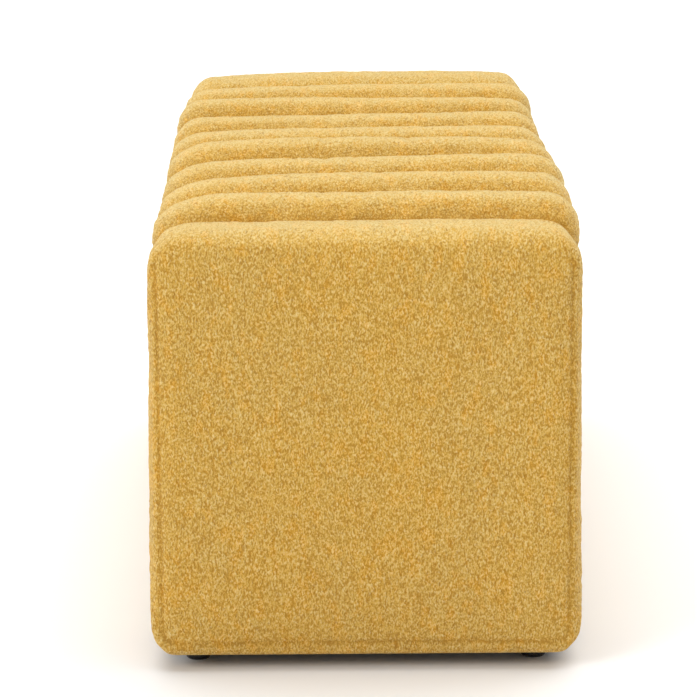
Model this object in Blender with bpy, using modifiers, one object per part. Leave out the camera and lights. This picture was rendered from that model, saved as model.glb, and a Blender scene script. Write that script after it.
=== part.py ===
"""A long upholstered ottoman with a storage box under its lid.

Frame: X runs along the length, Y across it and Z up. The origin is on the floor, in the middle.
The front is at -Y and the lid's hinges are at +Y. All sizes are in metres.

The box is plywood. Each end is a fixed hollow slab, and the lid lifts between the two ends.
The padding of the lid, the front and the back is sewn into channels that run across the length.
"""

import math

import bmesh
import bpy
from mathutils import Matrix, Vector

# Overall sizes
LENGTH = 1.100  # over the two padded end faces
WIDTH = 0.430  # over the padded sides of the end slabs
HEIGHT = 0.450  # from the floor to the crests of the lid's channels
CHANNELS = 8  # channels between the two end slabs
END_WIDTH = 0.110  # each end slab, along the length

# Gaps
FIT = 0.0003  # between pieces that touch
HOLE_EASE = 0.0003  # radial play of a shank in its hole
LID_SIDE_GAP = 0.003  # between the channelled pieces and each end slab
SEAM_GAP = 0.005  # between the closed lid and the box
SEAM_DROP = 0.065  # from the crests down to the middle of the seam

# Padding
END_FACE_PAD = 0.025
END_SIDE_PAD = 0.014
END_DROP = 0.004  # how far the end slabs stay below the crests
CHANNEL_PROUD = 0.006  # how far the crests stand out past the end slabs
CHANNEL_DEPTH = 0.013  # from crest to sewn valley
TOP_CORNER = 0.030
BOTTOM_ROUND = 0.016  # lower edge of the front and back padding
END_TOP_CORNER = 0.028
END_BOTTOM_CORNER = 0.024
END_EDGE_ROUND = 0.012
INNER_SKIN = 0.0015  # fabric that covers an end slab's face next to the lid

# Boards and blocks
BOARD = 0.015  # front, back, outer ends and lid
THIN_BOARD = 0.012  # floor, inner ends and decks
UNDER_GAP = 0.004  # from the padding's lowest line up to the boards
FLOOR_LIFT = 0.012  # height of the cleats that the floor rests on
CLEAT_WIDTH = 0.020
POST_CLEAR = 0.0047  # from an inner end board to its corner posts
POST_DEPTH = 0.045  # corner posts, along Y
CLOTH = 0.0015  # lining and dust cover
DUST_COVER_INSET = 0.005

# Feet
FOOT_HEIGHT = 0.020  # clear height under the padding
FOOT_RADIUS = 0.013
FOOT_SOLE_RADIUS = 0.0105
FOOT_ROUND = 0.004
FOOT_INSET_X = 0.050
FOOT_INSET_Y = 0.0445

# Screws
SCREW_RADIUS = 0.00175
SCREW_HEAD_RADIUS = 0.0036
SCREW_HEAD = 0.0015
SCREW_LENGTH = 0.012
FOOT_SCREW_RADIUS = 0.0020
FOOT_SCREW_LENGTH = 0.040

# Hinges: two butt hinges, their knuckles in the seam behind the back board
HINGE_WIDTH = 0.060
HINGE_CENTRE_KNUCKLE = 0.020
HINGE_PLAY = 0.0004  # between knuckles, along the pin
LEAF = 0.0017
LEAF_DROP = 0.028  # lower leaf, below the axis
KNUCKLE_RADIUS = 0.0042
KNUCKLE_TO_BOARD = 0.0006  # between the knuckles and the board's face
KNUCKLE_CLEAR = 0.0008  # around the knuckles
PIN_RADIUS = 0.0020
PIN_HEAD_RADIUS = 0.0032
PIN_HEAD = 0.0012
HINGE_SCREW_SPREAD = 0.040
LID_OPEN_DEG = 80.0

# Lid stays: a slotted arm hangs from the lid and slides on a stud in the end wall.
# Pivot and stud are equally far from the hinge axis, so an arm turns half as fast as the lid.
STAY_REACH = 0.130  # from the hinge axis to the pivot, and to the stud
STAY_PIVOT_DROP = 0.0145  # pivot below the hinge axis
STAY_CLOSED_DEG = 18.0  # between pivot and stud, seen from the hinge axis, lid shut
STAY_THICK = 0.002
STAY_WIDTH = 0.014
STAY_SLOT_PLAY = 0.0005
STAY_TO_WALL = 0.0055  # from the end wall to the arm
STUD_RADIUS = 0.0025
STUD_FLANGE_RADIUS = 0.006
STUD_FLANGE = 0.0022
STUD_HEAD_RADIUS = 0.0055
STUD_HEAD = 0.0015
STUD_TAIL_RADIUS = 0.0018
STUD_TAIL = 0.009
ARM_PLAY = 0.0012  # beside the arm, along the stud and the rivet
BRACKET_WIDTH = 0.026
BRACKET_FOOT = 0.016
BRACKET_THICK = 0.002
LID_LINING_INSET_X = 0.032
LID_LINING_INSET_Y = 0.020

# Bumpers that the closed lid rests on
BUMPER_RADIUS = 0.005
BUMPER_INSET = 0.040

# Places worked out from the sizes above
pitch = (LENGTH - 2 * END_WIDTH) / CHANNELS
side_pad = END_SIDE_PAD + CHANNEL_PROUD
wood_y = WIDTH / 2 - END_SIDE_PAD
inner_y = wood_y - BOARD
end_line = LENGTH / 2 - END_WIDTH
channel_end = end_line - LID_SIDE_GAP / 2
slab_face = end_line + LID_SIDE_GAP / 2
wall_x = slab_face + INNER_SKIN
end_board_out = LENGTH / 2 - END_FACE_PAD
end_board_in = end_board_out - BOARD
axis_z = HEIGHT - SEAM_DROP
axis_y = wood_y + KNUCKLE_RADIUS + KNUCKLE_TO_BOARD
lid_bottom = axis_z + SEAM_GAP / 2
box_top = axis_z - SEAM_GAP / 2
lid_board_top = lid_bottom + BOARD
pad_bottom = FOOT_HEIGHT
wood_bottom = pad_bottom + UNDER_GAP
floor_bottom = wood_bottom + FLOOR_LIFT + FIT
floor_top = floor_bottom + THIN_BOARD
deck_bottom = box_top + FIT
deck_top = deck_bottom + THIN_BOARD
end_top = HEIGHT - END_DROP

MATERIALS = {
    "upholstery": ((0.60, 0.36, 0.08), 0.95, 0.0),
    "plywood": ((0.62, 0.45, 0.27), 0.60, 0.0),
    "pine": ((0.72, 0.55, 0.34), 0.65, 0.0),
    "lining_cloth": ((0.10, 0.10, 0.11), 0.95, 0.0),
    "dust_cloth": ((0.02, 0.02, 0.02), 0.95, 0.0),
    "foot_plastic": ((0.015, 0.014, 0.013), 0.35, 0.0),
    "rubber": ((0.03, 0.03, 0.03), 0.80, 0.0),
    "zinc_steel": ((0.62, 0.61, 0.58), 0.35, 1.0),
}


# ---------------------------------------------------------------- scene and helpers


def clear_scene():
    for old in list(bpy.data.objects):
        bpy.data.objects.remove(old, do_unlink=True)


def new_collection(name, hidden=False):
    made = bpy.data.collections.new(name)
    bpy.context.scene.collection.children.link(made)
    made.hide_render = hidden
    return made


def make_material(name):
    colour, roughness, metallic = MATERIALS[name]
    made = bpy.data.materials.new(name)
    made.use_nodes = True
    shader = made.node_tree.nodes["Principled BSDF"]
    shader.inputs["Base Color"].default_value = (*colour, 1.0)
    shader.inputs["Roughness"].default_value = roughness
    shader.inputs["Metallic"].default_value = metallic
    return made


clear_scene()
ottoman = new_collection("storage_ottoman")
cutters = new_collection("cutters", hidden=True)
materials = {name: make_material(name) for name in MATERIALS}


def add_object(name, data, material=None, cutter=False):
    """Links an object. A cutter has no material, is left out of renders and shows as wires."""
    made = bpy.data.objects.new(name, data)
    (cutters if cutter else ottoman).objects.link(made)
    if cutter:
        made.hide_render = True
        made.display_type = "WIRE"
    else:
        data.materials.append(materials[material])
    return made


def add_empty(name, place, parent=None):
    made = bpy.data.objects.new(name, None)
    made.location = place
    made.empty_display_size = 0.03
    ottoman.objects.link(made)
    attach(made, parent)
    return made


def attach(child, parent):
    """Parents child where it stands."""
    if parent is None:
        return child
    bpy.context.view_layer.update()
    child.parent = parent
    child.matrix_parent_inverse = parent.matrix_world.inverted()
    return child


def mesh_from(name, bm):
    mesh = bpy.data.meshes.new(name)
    bmesh.ops.recalc_face_normals(bm, faces=bm.faces)
    bm.to_mesh(mesh)
    bm.free()
    return mesh


def smooth(mesh, angle_deg=35):
    mesh.shade_smooth()
    mesh.set_sharp_from_angle(angle=math.radians(angle_deg))


def add_box(name, low, high, material=None, cutter=False):
    """A box between two corners, its origin at its centre."""
    low, high = Vector(low), Vector(high)
    bm = bmesh.new()
    bmesh.ops.create_cube(bm, size=1.0)
    bmesh.ops.scale(bm, vec=high - low, verts=bm.verts)
    made = add_object(name, mesh_from(name, bm), material, cutter)
    made.location = (low + high) / 2
    return made


def add_rod(name, centre, axis, radius, length, cutter=True, segments=24):
    """A plain cylinder with its middle at centre."""
    bm = bmesh.new()
    bmesh.ops.create_cone(bm, cap_ends=True, segments=segments, radius1=radius, radius2=radius, depth=length)
    made = add_object(name, mesh_from(name, bm), None, cutter)
    made.rotation_euler = Vector(axis).to_track_quat("Z", "Y").to_euler()
    made.location = centre
    return made


def add_turned(name, profile, base, axis, material, segments=24):
    """Turns a profile of (radius, height) points, listed from the top down, about axis from base."""
    mesh = bpy.data.meshes.new(name)
    points = [(radius, 0.0, height) for radius, height in profile]
    mesh.from_pydata(points, [(i, i + 1) for i in range(len(points) - 1)], [])
    made = add_object(name, mesh, material)
    screw = made.modifiers.new("turn", "SCREW")
    screw.steps = segments
    screw.render_steps = segments
    screw.use_merge_vertices = True
    screw.merge_threshold = 0.00001
    screw.use_smooth_shade = True
    made.rotation_euler = Vector(axis).to_track_quat("Z", "Y").to_euler()
    made.location = base
    return made


def add_outline(name, loops, thickness, place, axes, material):
    """A flat plate: closed outlines in a 2D curve, extruded. axes are the plate's x, y and normal."""
    curve = bpy.data.curves.new(name, "CURVE")
    curve.dimensions = "2D"
    curve.fill_mode = "BOTH"
    curve.extrude = thickness / 2
    for loop in loops:
        spline = curve.splines.new("POLY")
        spline.points.add(len(loop) - 1)
        for point, (x, y) in zip(spline.points, loop):
            point.co = (x, y, 0.0, 1.0)
        spline.use_cyclic_u = True
    made = add_object(name, curve, material)
    turn = Matrix([Vector(a) for a in axes]).transposed()
    made.matrix_world = Matrix.Translation(place) @ turn.to_4x4()
    return made


def made_mesh(curve_object):
    """Turns a curve object into a mesh object with its caps welded, so that it can be cut."""
    bpy.context.view_layer.update()
    evaluated = curve_object.evaluated_get(bpy.context.evaluated_depsgraph_get())
    mesh = bpy.data.meshes.new_from_object(evaluated)
    bm = bmesh.new()
    bm.from_mesh(mesh)
    bmesh.ops.remove_doubles(bm, verts=bm.verts, dist=0.00001)
    bm.to_mesh(mesh)
    bm.free()
    name = curve_object.name
    place = curve_object.matrix_world.copy()
    bpy.data.objects.remove(curve_object, do_unlink=True)
    made = bpy.data.objects.new(name, mesh)
    ottoman.objects.link(made)
    made.matrix_world = place
    return made


def boolean(target, tool, operation="DIFFERENCE", solver="EXACT"):
    step = target.modifiers.new(tool.name, "BOOLEAN")
    step.object = tool
    step.operation = operation
    step.solver = solver
    return target


def drill(target, centre, axis, radius, length):
    """A round hole through or into target, with its middle at centre."""
    return boolean(target, add_rod(f"{target.name}_drill", centre, axis, radius, length))


def circle(radius, centre=(0.0, 0.0), segments=24):
    turns = [2 * math.pi * i / segments for i in range(segments)]
    return [(centre[0] + radius * math.cos(t), centre[1] + radius * math.sin(t)) for t in turns]


def stadium(start, end, radius, segments=10):
    """A slot outline along x, from start to end between the centres of its round ends."""
    half = [math.pi * i / segments - math.pi / 2 for i in range(segments + 1)]
    right = [(end + radius * math.cos(t), radius * math.sin(t)) for t in half]
    left = [(start - radius * math.cos(t), -radius * math.sin(t)) for t in half]
    return right + left


def add_loft(name, sections, material=None, cutter=False):
    """A closed solid through sections, each a loop of as many points."""
    bm = bmesh.new()
    rings = [[bm.verts.new(point) for point in section] for section in sections]
    count = len(rings[0])
    for ring, following in zip(rings, rings[1:]):
        for i in range(count):
            j = (i + 1) % count
            bm.faces.new((ring[i], ring[j], following[j], following[i]))
    bm.faces.new(rings[0])
    bm.faces.new(rings[-1])
    bmesh.ops.triangulate(bm, faces=bm.faces)
    mesh = mesh_from(name, bm)
    smooth(mesh)
    return add_object(name, mesh, material, cutter)


# ---------------------------------------------------------------- channelled padding


def arc(centre_y, centre_z, radius_y, radius_z, start_deg, end_deg, steps):
    turns = [math.radians(start_deg + (end_deg - start_deg) * i / steps) for i in range(steps + 1)]
    return [(centre_y + radius_y * math.cos(t), centre_z + radius_z * math.sin(t)) for t in turns]


def channel_stations():
    """(x, inset) along the padding: the inset is 0 at a crest and CHANNEL_DEPTH at a sewn valley."""
    across = (-1.0, -0.78, -0.42, 0.0, 0.42, 0.78)
    stations = []
    for i in range(CHANNELS):
        middle = (i + 0.5 - CHANNELS / 2) * pitch
        stations += [(middle + u * pitch / 2, CHANNEL_DEPTH * u * u) for u in across]
    stations.append((CHANNELS / 2 * pitch, CHANNEL_DEPTH))
    squeeze = channel_end / (CHANNELS / 2 * pitch)
    return [(x * squeeze, inset) for x, inset in stations]


def lid_section(inset):
    """Lid padding across Y: over the top, down both sides, and around the lid board's three faces."""
    thick = side_pad - inset
    board_y = wood_y + FIT
    corner_y = wood_y + side_pad - TOP_CORNER
    corner_z = HEIGHT - TOP_CORNER
    low_round = arc(wood_y, lid_bottom + side_pad, thick, side_pad, -72, 0, 3)
    top_round = arc(corner_y, corner_z, TOP_CORNER - inset, TOP_CORNER - inset, 0, 90, 4)
    side = [(board_y, lid_bottom)] + low_round + top_round
    inside = [(-board_y, lid_board_top + FIT), (board_y, lid_board_top + FIT)]
    return side + [(-y, z) for y, z in reversed(side)] + inside


def wall_section(inset, side):
    """Padding of the front (side -1) or the back (side +1), round at its top and bottom edges."""
    thick = side_pad - inset
    board_y = wood_y + FIT
    low_round = arc(wood_y, pad_bottom + BOTTOM_ROUND, thick, BOTTOM_ROUND, -72, 0, 3)
    top_round = arc(wood_y, box_top - side_pad, thick, side_pad, 0, 72, 3)
    loop = [(board_y, pad_bottom)] + low_round + top_round + [(board_y, box_top)]
    return [(side * y, z) for y, z in loop]


def add_channel_pad(name, section_at):
    sections = [[(x, y, z) for y, z in section_at(inset)] for x, inset in channel_stations()]
    return add_loft(name, sections, "upholstery")


def end_slab(name, side):
    """A fixed end: a rounded slab of padding with a pocket for its boards, open below and inside."""
    bm = bmesh.new()
    bmesh.ops.create_cube(bm, size=1.0)
    size = Vector((LENGTH / 2 - slab_face, WIDTH, end_top - pad_bottom))
    bmesh.ops.scale(bm, vec=size, verts=bm.verts)
    along = [e for e in bm.edges if abs((e.verts[0].co - e.verts[1].co).x) > size.x / 2]
    upper = [e for e in along if e.verts[0].co.z > 0]
    lower = [e for e in along if e.verts[0].co.z < 0]
    bmesh.ops.bevel(bm, geom=upper, offset=END_TOP_CORNER, segments=5, profile=0.5, affect="EDGES")
    bmesh.ops.bevel(bm, geom=lower, offset=END_BOTTOM_CORNER, segments=5, profile=0.5, affect="EDGES")
    rim = [e for e in bm.edges if all(v.co.x > size.x / 2 - 0.0001 for v in e.verts)]
    bmesh.ops.bevel(bm, geom=rim, offset=END_EDGE_ROUND, segments=3, profile=0.5, affect="EDGES")
    if side < 0:
        bmesh.ops.scale(bm, vec=(-1, 1, 1), verts=bm.verts)
    mesh = mesh_from(name, bm)
    smooth(mesh)
    slab = add_object(name, mesh, "upholstery")
    slab.location = (side * (slab_face + size.x / 2), 0, (end_top + pad_bottom) / 2)
    edge = wood_y + FIT
    inner, outer = sorted((side * (slab_face - 0.02), side * (end_board_out + FIT)))
    pocket = add_box(f"{name}_pocket", (inner, -edge, 0), (outer, edge, deck_top + FIT), cutter=True)
    return boolean(slab, pocket)


# ---------------------------------------------------------------- boards, blocks and cloths


def mirrored_box(name, side, x_range, y_range, z_range, material):
    """A box given for the right end; side -1 puts it at the left end."""
    low_x, high_x = sorted((side * x_range[0], side * x_range[1]))
    return add_box(name, (low_x, y_range[0], z_range[0]), (high_x, y_range[1], z_range[1]), material)


def build_box():
    long_x = end_board_in - FIT
    panels = {}
    for word, side in (("front", -1), ("back", 1)):
        low_y, high_y = sorted((side * inner_y, side * wood_y))
        panels[word] = add_box(
            f"{word}_panel", (-long_x, low_y, wood_bottom), (long_x, high_y, box_top), "plywood"
        )
        cleat_y = sorted((side * (inner_y - FIT), side * (inner_y - FIT - CLEAT_WIDTH)))
        add_box(
            f"floor_cleat_{word}",
            (-wall_x + FIT, cleat_y[0], wood_bottom),
            (wall_x - FIT, cleat_y[1], wood_bottom + FLOOR_LIFT),
            "pine",
        )
    floor_y = inner_y - FIT
    add_box(
        "floor_panel",
        (-wall_x + FIT, -floor_y, floor_bottom),
        (wall_x - FIT, floor_y, floor_top),
        "plywood",
    )
    for word, side in (("left", -1), ("right", 1)):
        mirrored_box(
            f"end_board_outer_{word}", side, (end_board_in, end_board_out), (-wood_y, wood_y),
            (wood_bottom, deck_top), "plywood",
        )
        panels[word] = mirrored_box(
            f"end_board_inner_{word}", side, (wall_x, wall_x + THIN_BOARD), (-floor_y, floor_y),
            (wood_bottom, box_top), "plywood",
        )
        mirrored_box(
            f"end_deck_{word}", side, (wall_x, long_x), (-wood_y, wood_y), (deck_bottom, deck_top), "plywood"
        )
        for row, hand in (("front", -1), ("back", 1)):
            y_range = sorted((hand * floor_y, hand * (floor_y - POST_DEPTH)))
            post = mirrored_box(
                f"corner_post_{row}_{word}", side, (wall_x + THIN_BOARD + POST_CLEAR, long_x), y_range,
                (wood_bottom, box_top), "pine",
            )
            add_foot(row, word, hand, side, post)
    return panels


def add_foot(row, word, hand, side, post):
    """A turned plastic foot, screwed up into its corner post through a recessed hole."""
    x = side * (LENGTH / 2 - FOOT_INSET_X)
    y = hand * (WIDTH / 2 - FOOT_INSET_Y)
    top = wood_bottom - FIT
    bore = FOOT_SCREW_RADIUS + HOLE_EASE
    recess_radius = SCREW_HEAD_RADIUS + 2 * HOLE_EASE
    recess_top = FOOT_HEIGHT / 2
    lip = [
        (FOOT_RADIUS - (FOOT_RADIUS - FOOT_SOLE_RADIUS) * (1 - math.cos(t)), FOOT_ROUND * (1 - math.sin(t)))
        for t in (0.0, math.pi / 6, math.pi / 3, math.pi / 2)
    ]
    profile = [(bore, top), (FOOT_RADIUS, top), *lip, (recess_radius, 0), (recess_radius, recess_top)]
    profile += [(bore, recess_top), (bore, top)]
    foot = add_turned(f"foot_{row}_{word}", profile, (x, y, 0), (0, 0, 1), "foot_plastic")
    screw_profile = [
        (0, SCREW_HEAD + FOOT_SCREW_LENGTH),
        (FOOT_SCREW_RADIUS, SCREW_HEAD + FOOT_SCREW_LENGTH - FOOT_SCREW_RADIUS),
        (FOOT_SCREW_RADIUS, SCREW_HEAD),
        (SCREW_HEAD_RADIUS, SCREW_HEAD),
        (SCREW_HEAD_RADIUS * 0.7, 0),
        (0, 0),
    ]
    head_bottom = recess_top - FIT - SCREW_HEAD
    add_turned(
        f"foot_screw_{row}_{word}", screw_profile, (x, y, head_bottom), (0, 0, 1), "zinc_steel", segments=12
    )
    depth = head_bottom + SCREW_HEAD + FOOT_SCREW_LENGTH - wood_bottom + FIT
    drill(post, (x, y, wood_bottom + depth / 2 - 0.001), (0, 0, 1), bore, depth + 0.002)
    return foot


def build_cloths():
    """The black cloth under the box, with a hole for each foot, and the lining inside it."""
    low = wood_bottom - FIT - CLOTH
    x = end_board_out - DUST_COVER_INSET
    y = wood_y - DUST_COVER_INSET
    cover = add_box("dust_cover", (-x, -y, low), (x, y, low + CLOTH), "dust_cloth")
    for side in (-1, 1):
        for hand in (-1, 1):
            place = (side * (LENGTH / 2 - FOOT_INSET_X), hand * (WIDTH / 2 - FOOT_INSET_Y), low)
            drill(cover, place, (0, 0, 1), FOOT_RADIUS + 2 * FIT, 0.02)

    out_x, out_y = wall_x - FIT, inner_y - FIT
    low_z, high_z = floor_top + FIT, box_top - FIT
    bm = bmesh.new()
    bmesh.ops.create_cube(bm, size=1.0)
    bmesh.ops.scale(bm, vec=(2 * out_x, 2 * out_y, high_z - low_z), verts=bm.verts)
    lid_face = [f for f in bm.faces if f.normal.z > 0.5]
    bmesh.ops.delete(bm, geom=lid_face, context="FACES_ONLY")
    lining = add_object("storage_lining", mesh_from("storage_lining", bm), "lining_cloth")
    lining.location = (0, 0, (low_z + high_z) / 2)
    shell = lining.modifiers.new("thickness", "SOLIDIFY")
    shell.thickness = CLOTH
    shell.offset = -1.0
    shell.use_even_offset = True
    return lining


def build_bumpers():
    """Two soft discs on the front board's top edge, just below the closed lid board."""
    height = SEAM_GAP - 2 * FIT
    profile = [(0, height), (BUMPER_RADIUS * 0.6, height), (BUMPER_RADIUS, height / 2), (BUMPER_RADIUS, 0), (0, 0)]
    for word, side in (("left", -1), ("right", 1)):
        place = (side * (channel_end - BUMPER_INSET), -(wood_y - BOARD / 2), box_top + FIT)
        add_turned(f"lid_bumper_{word}", profile, place, (0, 0, 1), "rubber", segments=16)


# ---------------------------------------------------------------- hinges


def screw_into(name, target, place, direction, axis_parent=None):
    """A pan-head screw. place is under its head, on the surface; direction points the way it goes in."""
    direction = Vector(direction)
    profile = [
        (0, SCREW_HEAD),
        (SCREW_HEAD_RADIUS * 0.6, SCREW_HEAD),
        (SCREW_HEAD_RADIUS, 0),
        (SCREW_RADIUS, 0),
        (SCREW_RADIUS, SCREW_RADIUS - SCREW_LENGTH),
        (0, -SCREW_LENGTH),
    ]
    screw = add_turned(name, profile, place, -direction, "zinc_steel", segments=12)
    reach = SCREW_LENGTH + 0.001
    drill(target, Vector(place) + direction * reach / 2, direction, SCREW_RADIUS + HOLE_EASE, reach)
    return attach(screw, axis_parent)


def hinge_leaf(name, centre_x, up):
    """A leaf against the board's back face, rolled into its knuckles around the hinge axis.

    up is +1 for the lid's leaf, with the middle knuckle, and -1 for the box's, with the outer two."""
    near, far = wood_y + FIT, wood_y + FIT + LEAF
    half = HINGE_WIDTH / 2
    middle = HINGE_CENTRE_KNUCKLE / 2
    reach = lid_board_top - axis_z - FIT if up > 0 else LEAF_DROP
    low_z, high_z = sorted((axis_z, axis_z + up * reach))
    leaf = add_box(name, (centre_x - half, near, low_z), (centre_x + half, far, high_z), "zinc_steel")
    if up > 0:
        barrels = [(0.0, 2 * (middle - HINGE_PLAY / 2))]
        gaps = [(middle - HINGE_PLAY / 2, half + 0.001), (-half - 0.001, -middle + HINGE_PLAY / 2)]
    else:
        length = half - middle - HINGE_PLAY / 2
        barrels = [(s * (half - length / 2), length) for s in (-1, 1)]
        gaps = [(-middle - HINGE_PLAY / 2, middle + HINGE_PLAY / 2)]
    for i, (start, end) in enumerate(gaps):
        notch_z = sorted((axis_z - up * 0.002, axis_z + up * (KNUCKLE_RADIUS + KNUCKLE_CLEAR)))
        notch = add_box(
            f"{name}_notch_{i}",
            (centre_x + start, near - 0.001, notch_z[0]),
            (centre_x + end, far + 0.001, notch_z[1]),
            cutter=True,
        )
        boolean(leaf, notch)
    for i, (offset, length) in enumerate(barrels):
        place = (centre_x + offset, axis_y, axis_z)
        barrel = add_rod(f"{name}_barrel_{i}", place, (1, 0, 0), KNUCKLE_RADIUS, length)
        boolean(leaf, barrel, "UNION")
    bore = add_rod(f"{name}_bore", (centre_x, axis_y, axis_z), (1, 0, 0), PIN_RADIUS + HOLE_EASE, 0.1)
    return boolean(leaf, bore)


def hinge_pocket(pad, name, centre_x, up, reach):
    """Room in a pad's back for the knuckles, a leaf and its screw heads, on one side of the axis."""
    half = HINGE_WIDTH / 2 + PIN_HEAD + 0.002
    radius = KNUCKLE_RADIUS + KNUCKLE_CLEAR
    near = wood_y - 0.002
    outer = wood_y + FIT + LEAF + SCREW_HEAD + 2 * FIT
    beyond = -SEAM_GAP * 1.3
    start = math.degrees(math.acos((outer - axis_y) / radius))
    bulge = arc(axis_y, 0, radius, radius, start, 0, 5)
    outline = [(near, beyond), (near, reach), (outer, reach)] + bulge + [(axis_y + radius, beyond)]
    sections = [[(centre_x + dx, y, axis_z + up * z) for y, z in outline] for dx in (-half, half)]
    return boolean(pad, add_loft(name, sections, cutter=True), solver="MANIFOLD")


def build_hinge(word, side, back_panel, back_pad, lid_board, lid_pad, lid_axis):
    x = side * (CHANNELS / 2 - 1.5) * pitch * channel_end / (CHANNELS / 2 * pitch)
    box_leaf = hinge_leaf(f"hinge_box_leaf_{word}", x, -1)
    lid_leaf = attach(hinge_leaf(f"hinge_lid_leaf_{word}", x, 1), lid_axis)
    half = HINGE_WIDTH / 2
    bore_radius = PIN_RADIUS
    pin_profile = [
        (0, half + FIT + PIN_HEAD), (PIN_HEAD_RADIUS, half + FIT + PIN_HEAD), (PIN_HEAD_RADIUS, half + FIT),
        (bore_radius, half + FIT), (bore_radius, -half - FIT), (PIN_HEAD_RADIUS, -half - FIT),
        (PIN_HEAD_RADIUS, -half - FIT - PIN_HEAD), (0, -half - FIT - PIN_HEAD),
    ]
    add_turned(f"hinge_pin_{word}", pin_profile, (x, axis_y, axis_z), (1, 0, 0), "zinc_steel", segments=16)
    surface = wood_y + FIT + LEAF + FIT
    heights = {"box": axis_z - LEAF_DROP * 0.65, "lid": lid_bottom + BOARD / 2}
    for which, leaf, board, parent in (
        ("box", box_leaf, back_panel, None), ("lid", lid_leaf, lid_board, lid_axis)
    ):
        for hand, offset in (("a", -HINGE_SCREW_SPREAD / 2), ("b", HINGE_SCREW_SPREAD / 2)):
            place = (x + offset, surface, heights[which])
            name = f"hinge_{which}_screw_{word}_{hand}"
            screw_into(name, leaf, place, (0, -1, 0), parent)
            drill(board, (place[0], wood_y, place[2]), (0, 1, 0), SCREW_RADIUS + HOLE_EASE, 2 * SCREW_LENGTH)
    hinge_pocket(back_pad, f"box_pocket_{word}", x, -1, LEAF_DROP + 0.001)
    hinge_pocket(lid_pad, f"lid_pocket_{word}", x, 1, lid_board_top - axis_z + FIT / 2)


# ---------------------------------------------------------------- lid stays


def stay_points():
    """Pivot on the lid and stud on the wall, as (y, z), both STAY_REACH from the hinge axis."""
    pivot_angle = math.asin(STAY_PIVOT_DROP / STAY_REACH)
    stud_angle = pivot_angle + math.radians(STAY_CLOSED_DEG)
    pivot = (axis_y - STAY_REACH * math.cos(pivot_angle), axis_z - STAY_REACH * math.sin(pivot_angle))
    stud = (axis_y - STAY_REACH * math.cos(stud_angle), axis_z - STAY_REACH * math.sin(stud_angle))
    return pivot, stud


def build_stay(word, side, wall, lining, lid_axis):
    pivot, stud = stay_points()
    closed = math.hypot(pivot[0] - stud[0], pivot[1] - stud[1])
    opened = 2 * STAY_REACH * math.sin(math.radians(STAY_CLOSED_DEG + LID_OPEN_DEG) / 2)
    arm_x = wall_x - STAY_TO_WALL - STAY_THICK / 2
    inward = Vector((-side, 0, 0))
    pivot_empty = add_empty(f"stay_pivot_{word}", (side * arm_x, *pivot), lid_axis)

    # The arm: its own x runs from the pivot to the stud, and its slot takes the stud at both limits.
    down = Vector((0, stud[0] - pivot[0], stud[1] - pivot[1])).normalized()
    normal = Vector((side, 0, 0))
    slot_radius = STUD_RADIUS + STAY_SLOT_PLAY
    loops = [
        stadium(0.0, opened, STAY_WIDTH / 2),
        stadium(closed, opened, slot_radius, 8),
        circle(STUD_RADIUS + HOLE_EASE, segments=16),
    ]
    axes = (down, normal.cross(down), normal)
    place = Vector((side * arm_x, *pivot))
    arm = add_outline(f"stay_arm_{word}", loops, STAY_THICK, place, axes, "zinc_steel")
    attach(arm, pivot_empty)

    # The stud: a tail in the wall board, a flange, the shank that the slot slides on, and a head.
    shank = STAY_TO_WALL + STAY_THICK + ARM_PLAY
    stud_profile = [
        (0, shank + STUD_HEAD), (STUD_HEAD_RADIUS, shank + STUD_HEAD), (STUD_HEAD_RADIUS, shank),
        (STUD_RADIUS, shank), (STUD_RADIUS, STUD_FLANGE), (STUD_FLANGE_RADIUS, STUD_FLANGE),
        (STUD_FLANGE_RADIUS, FIT), (STUD_TAIL_RADIUS, FIT), (STUD_TAIL_RADIUS, -STUD_TAIL), (0, -STUD_TAIL),
    ]
    wall_point = Vector((side * wall_x, *stud))
    add_turned(f"stay_stud_{word}", stud_profile, wall_point, inward, "zinc_steel", segments=16)
    drill(wall, wall_point, inward, STUD_TAIL_RADIUS + HOLE_EASE, 2 * (STUD_TAIL + FIT))
    drill(lining, wall_point, inward, STUD_FLANGE_RADIUS + 2 * FIT, 0.01)

    # The bracket: an angle under the lid board, its upright beside the arm.
    plate_far = arm_x - STAY_THICK / 2 - ARM_PLAY
    plate_near = plate_far - BRACKET_THICK
    top = lid_bottom - FIT
    drop = top - (pivot[1] - STAY_WIDTH / 2)
    angle = [
        (0, 0), (0, -drop), (-BRACKET_THICK, -drop), (-BRACKET_THICK, -BRACKET_THICK),
        (-BRACKET_FOOT, -BRACKET_THICK), (-BRACKET_FOOT, 0),
    ]
    corner = Vector((side * plate_far, pivot[0], top))
    axes = (Vector((side, 0, 0)), Vector((0, 0, 1)), Vector((0, -side, 0)))
    bracket = made_mesh(add_outline(f"stay_bracket_{word}", [angle], BRACKET_WIDTH, corner, axes, "zinc_steel"))
    plate_middle = (side * (plate_far + plate_near) / 2, *pivot)
    drill(bracket, plate_middle, (1, 0, 0), STUD_RADIUS + HOLE_EASE, 0.01)
    attach(bracket, lid_axis)

    # The rivet that the arm turns on: a head on each side, next to the arm and to the plate.
    near_head = plate_near - FIT
    far_head = arm_x + STAY_THICK / 2 + FIT
    length = far_head - near_head
    rivet_profile = [
        (0, length + STUD_HEAD), (STUD_HEAD_RADIUS * 0.8, length + STUD_HEAD), (STUD_HEAD_RADIUS * 0.8, length),
        (STUD_RADIUS, length), (STUD_RADIUS, 0), (STUD_HEAD_RADIUS * 0.8, 0),
        (STUD_HEAD_RADIUS * 0.8, -STUD_HEAD), (0, -STUD_HEAD),
    ]
    base = (side * near_head, *pivot)
    rivet = add_turned(f"stay_rivet_{word}", rivet_profile, base, -inward, "zinc_steel", segments=16)
    attach(rivet, lid_axis)


# ---------------------------------------------------------------- the whole ottoman


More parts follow.
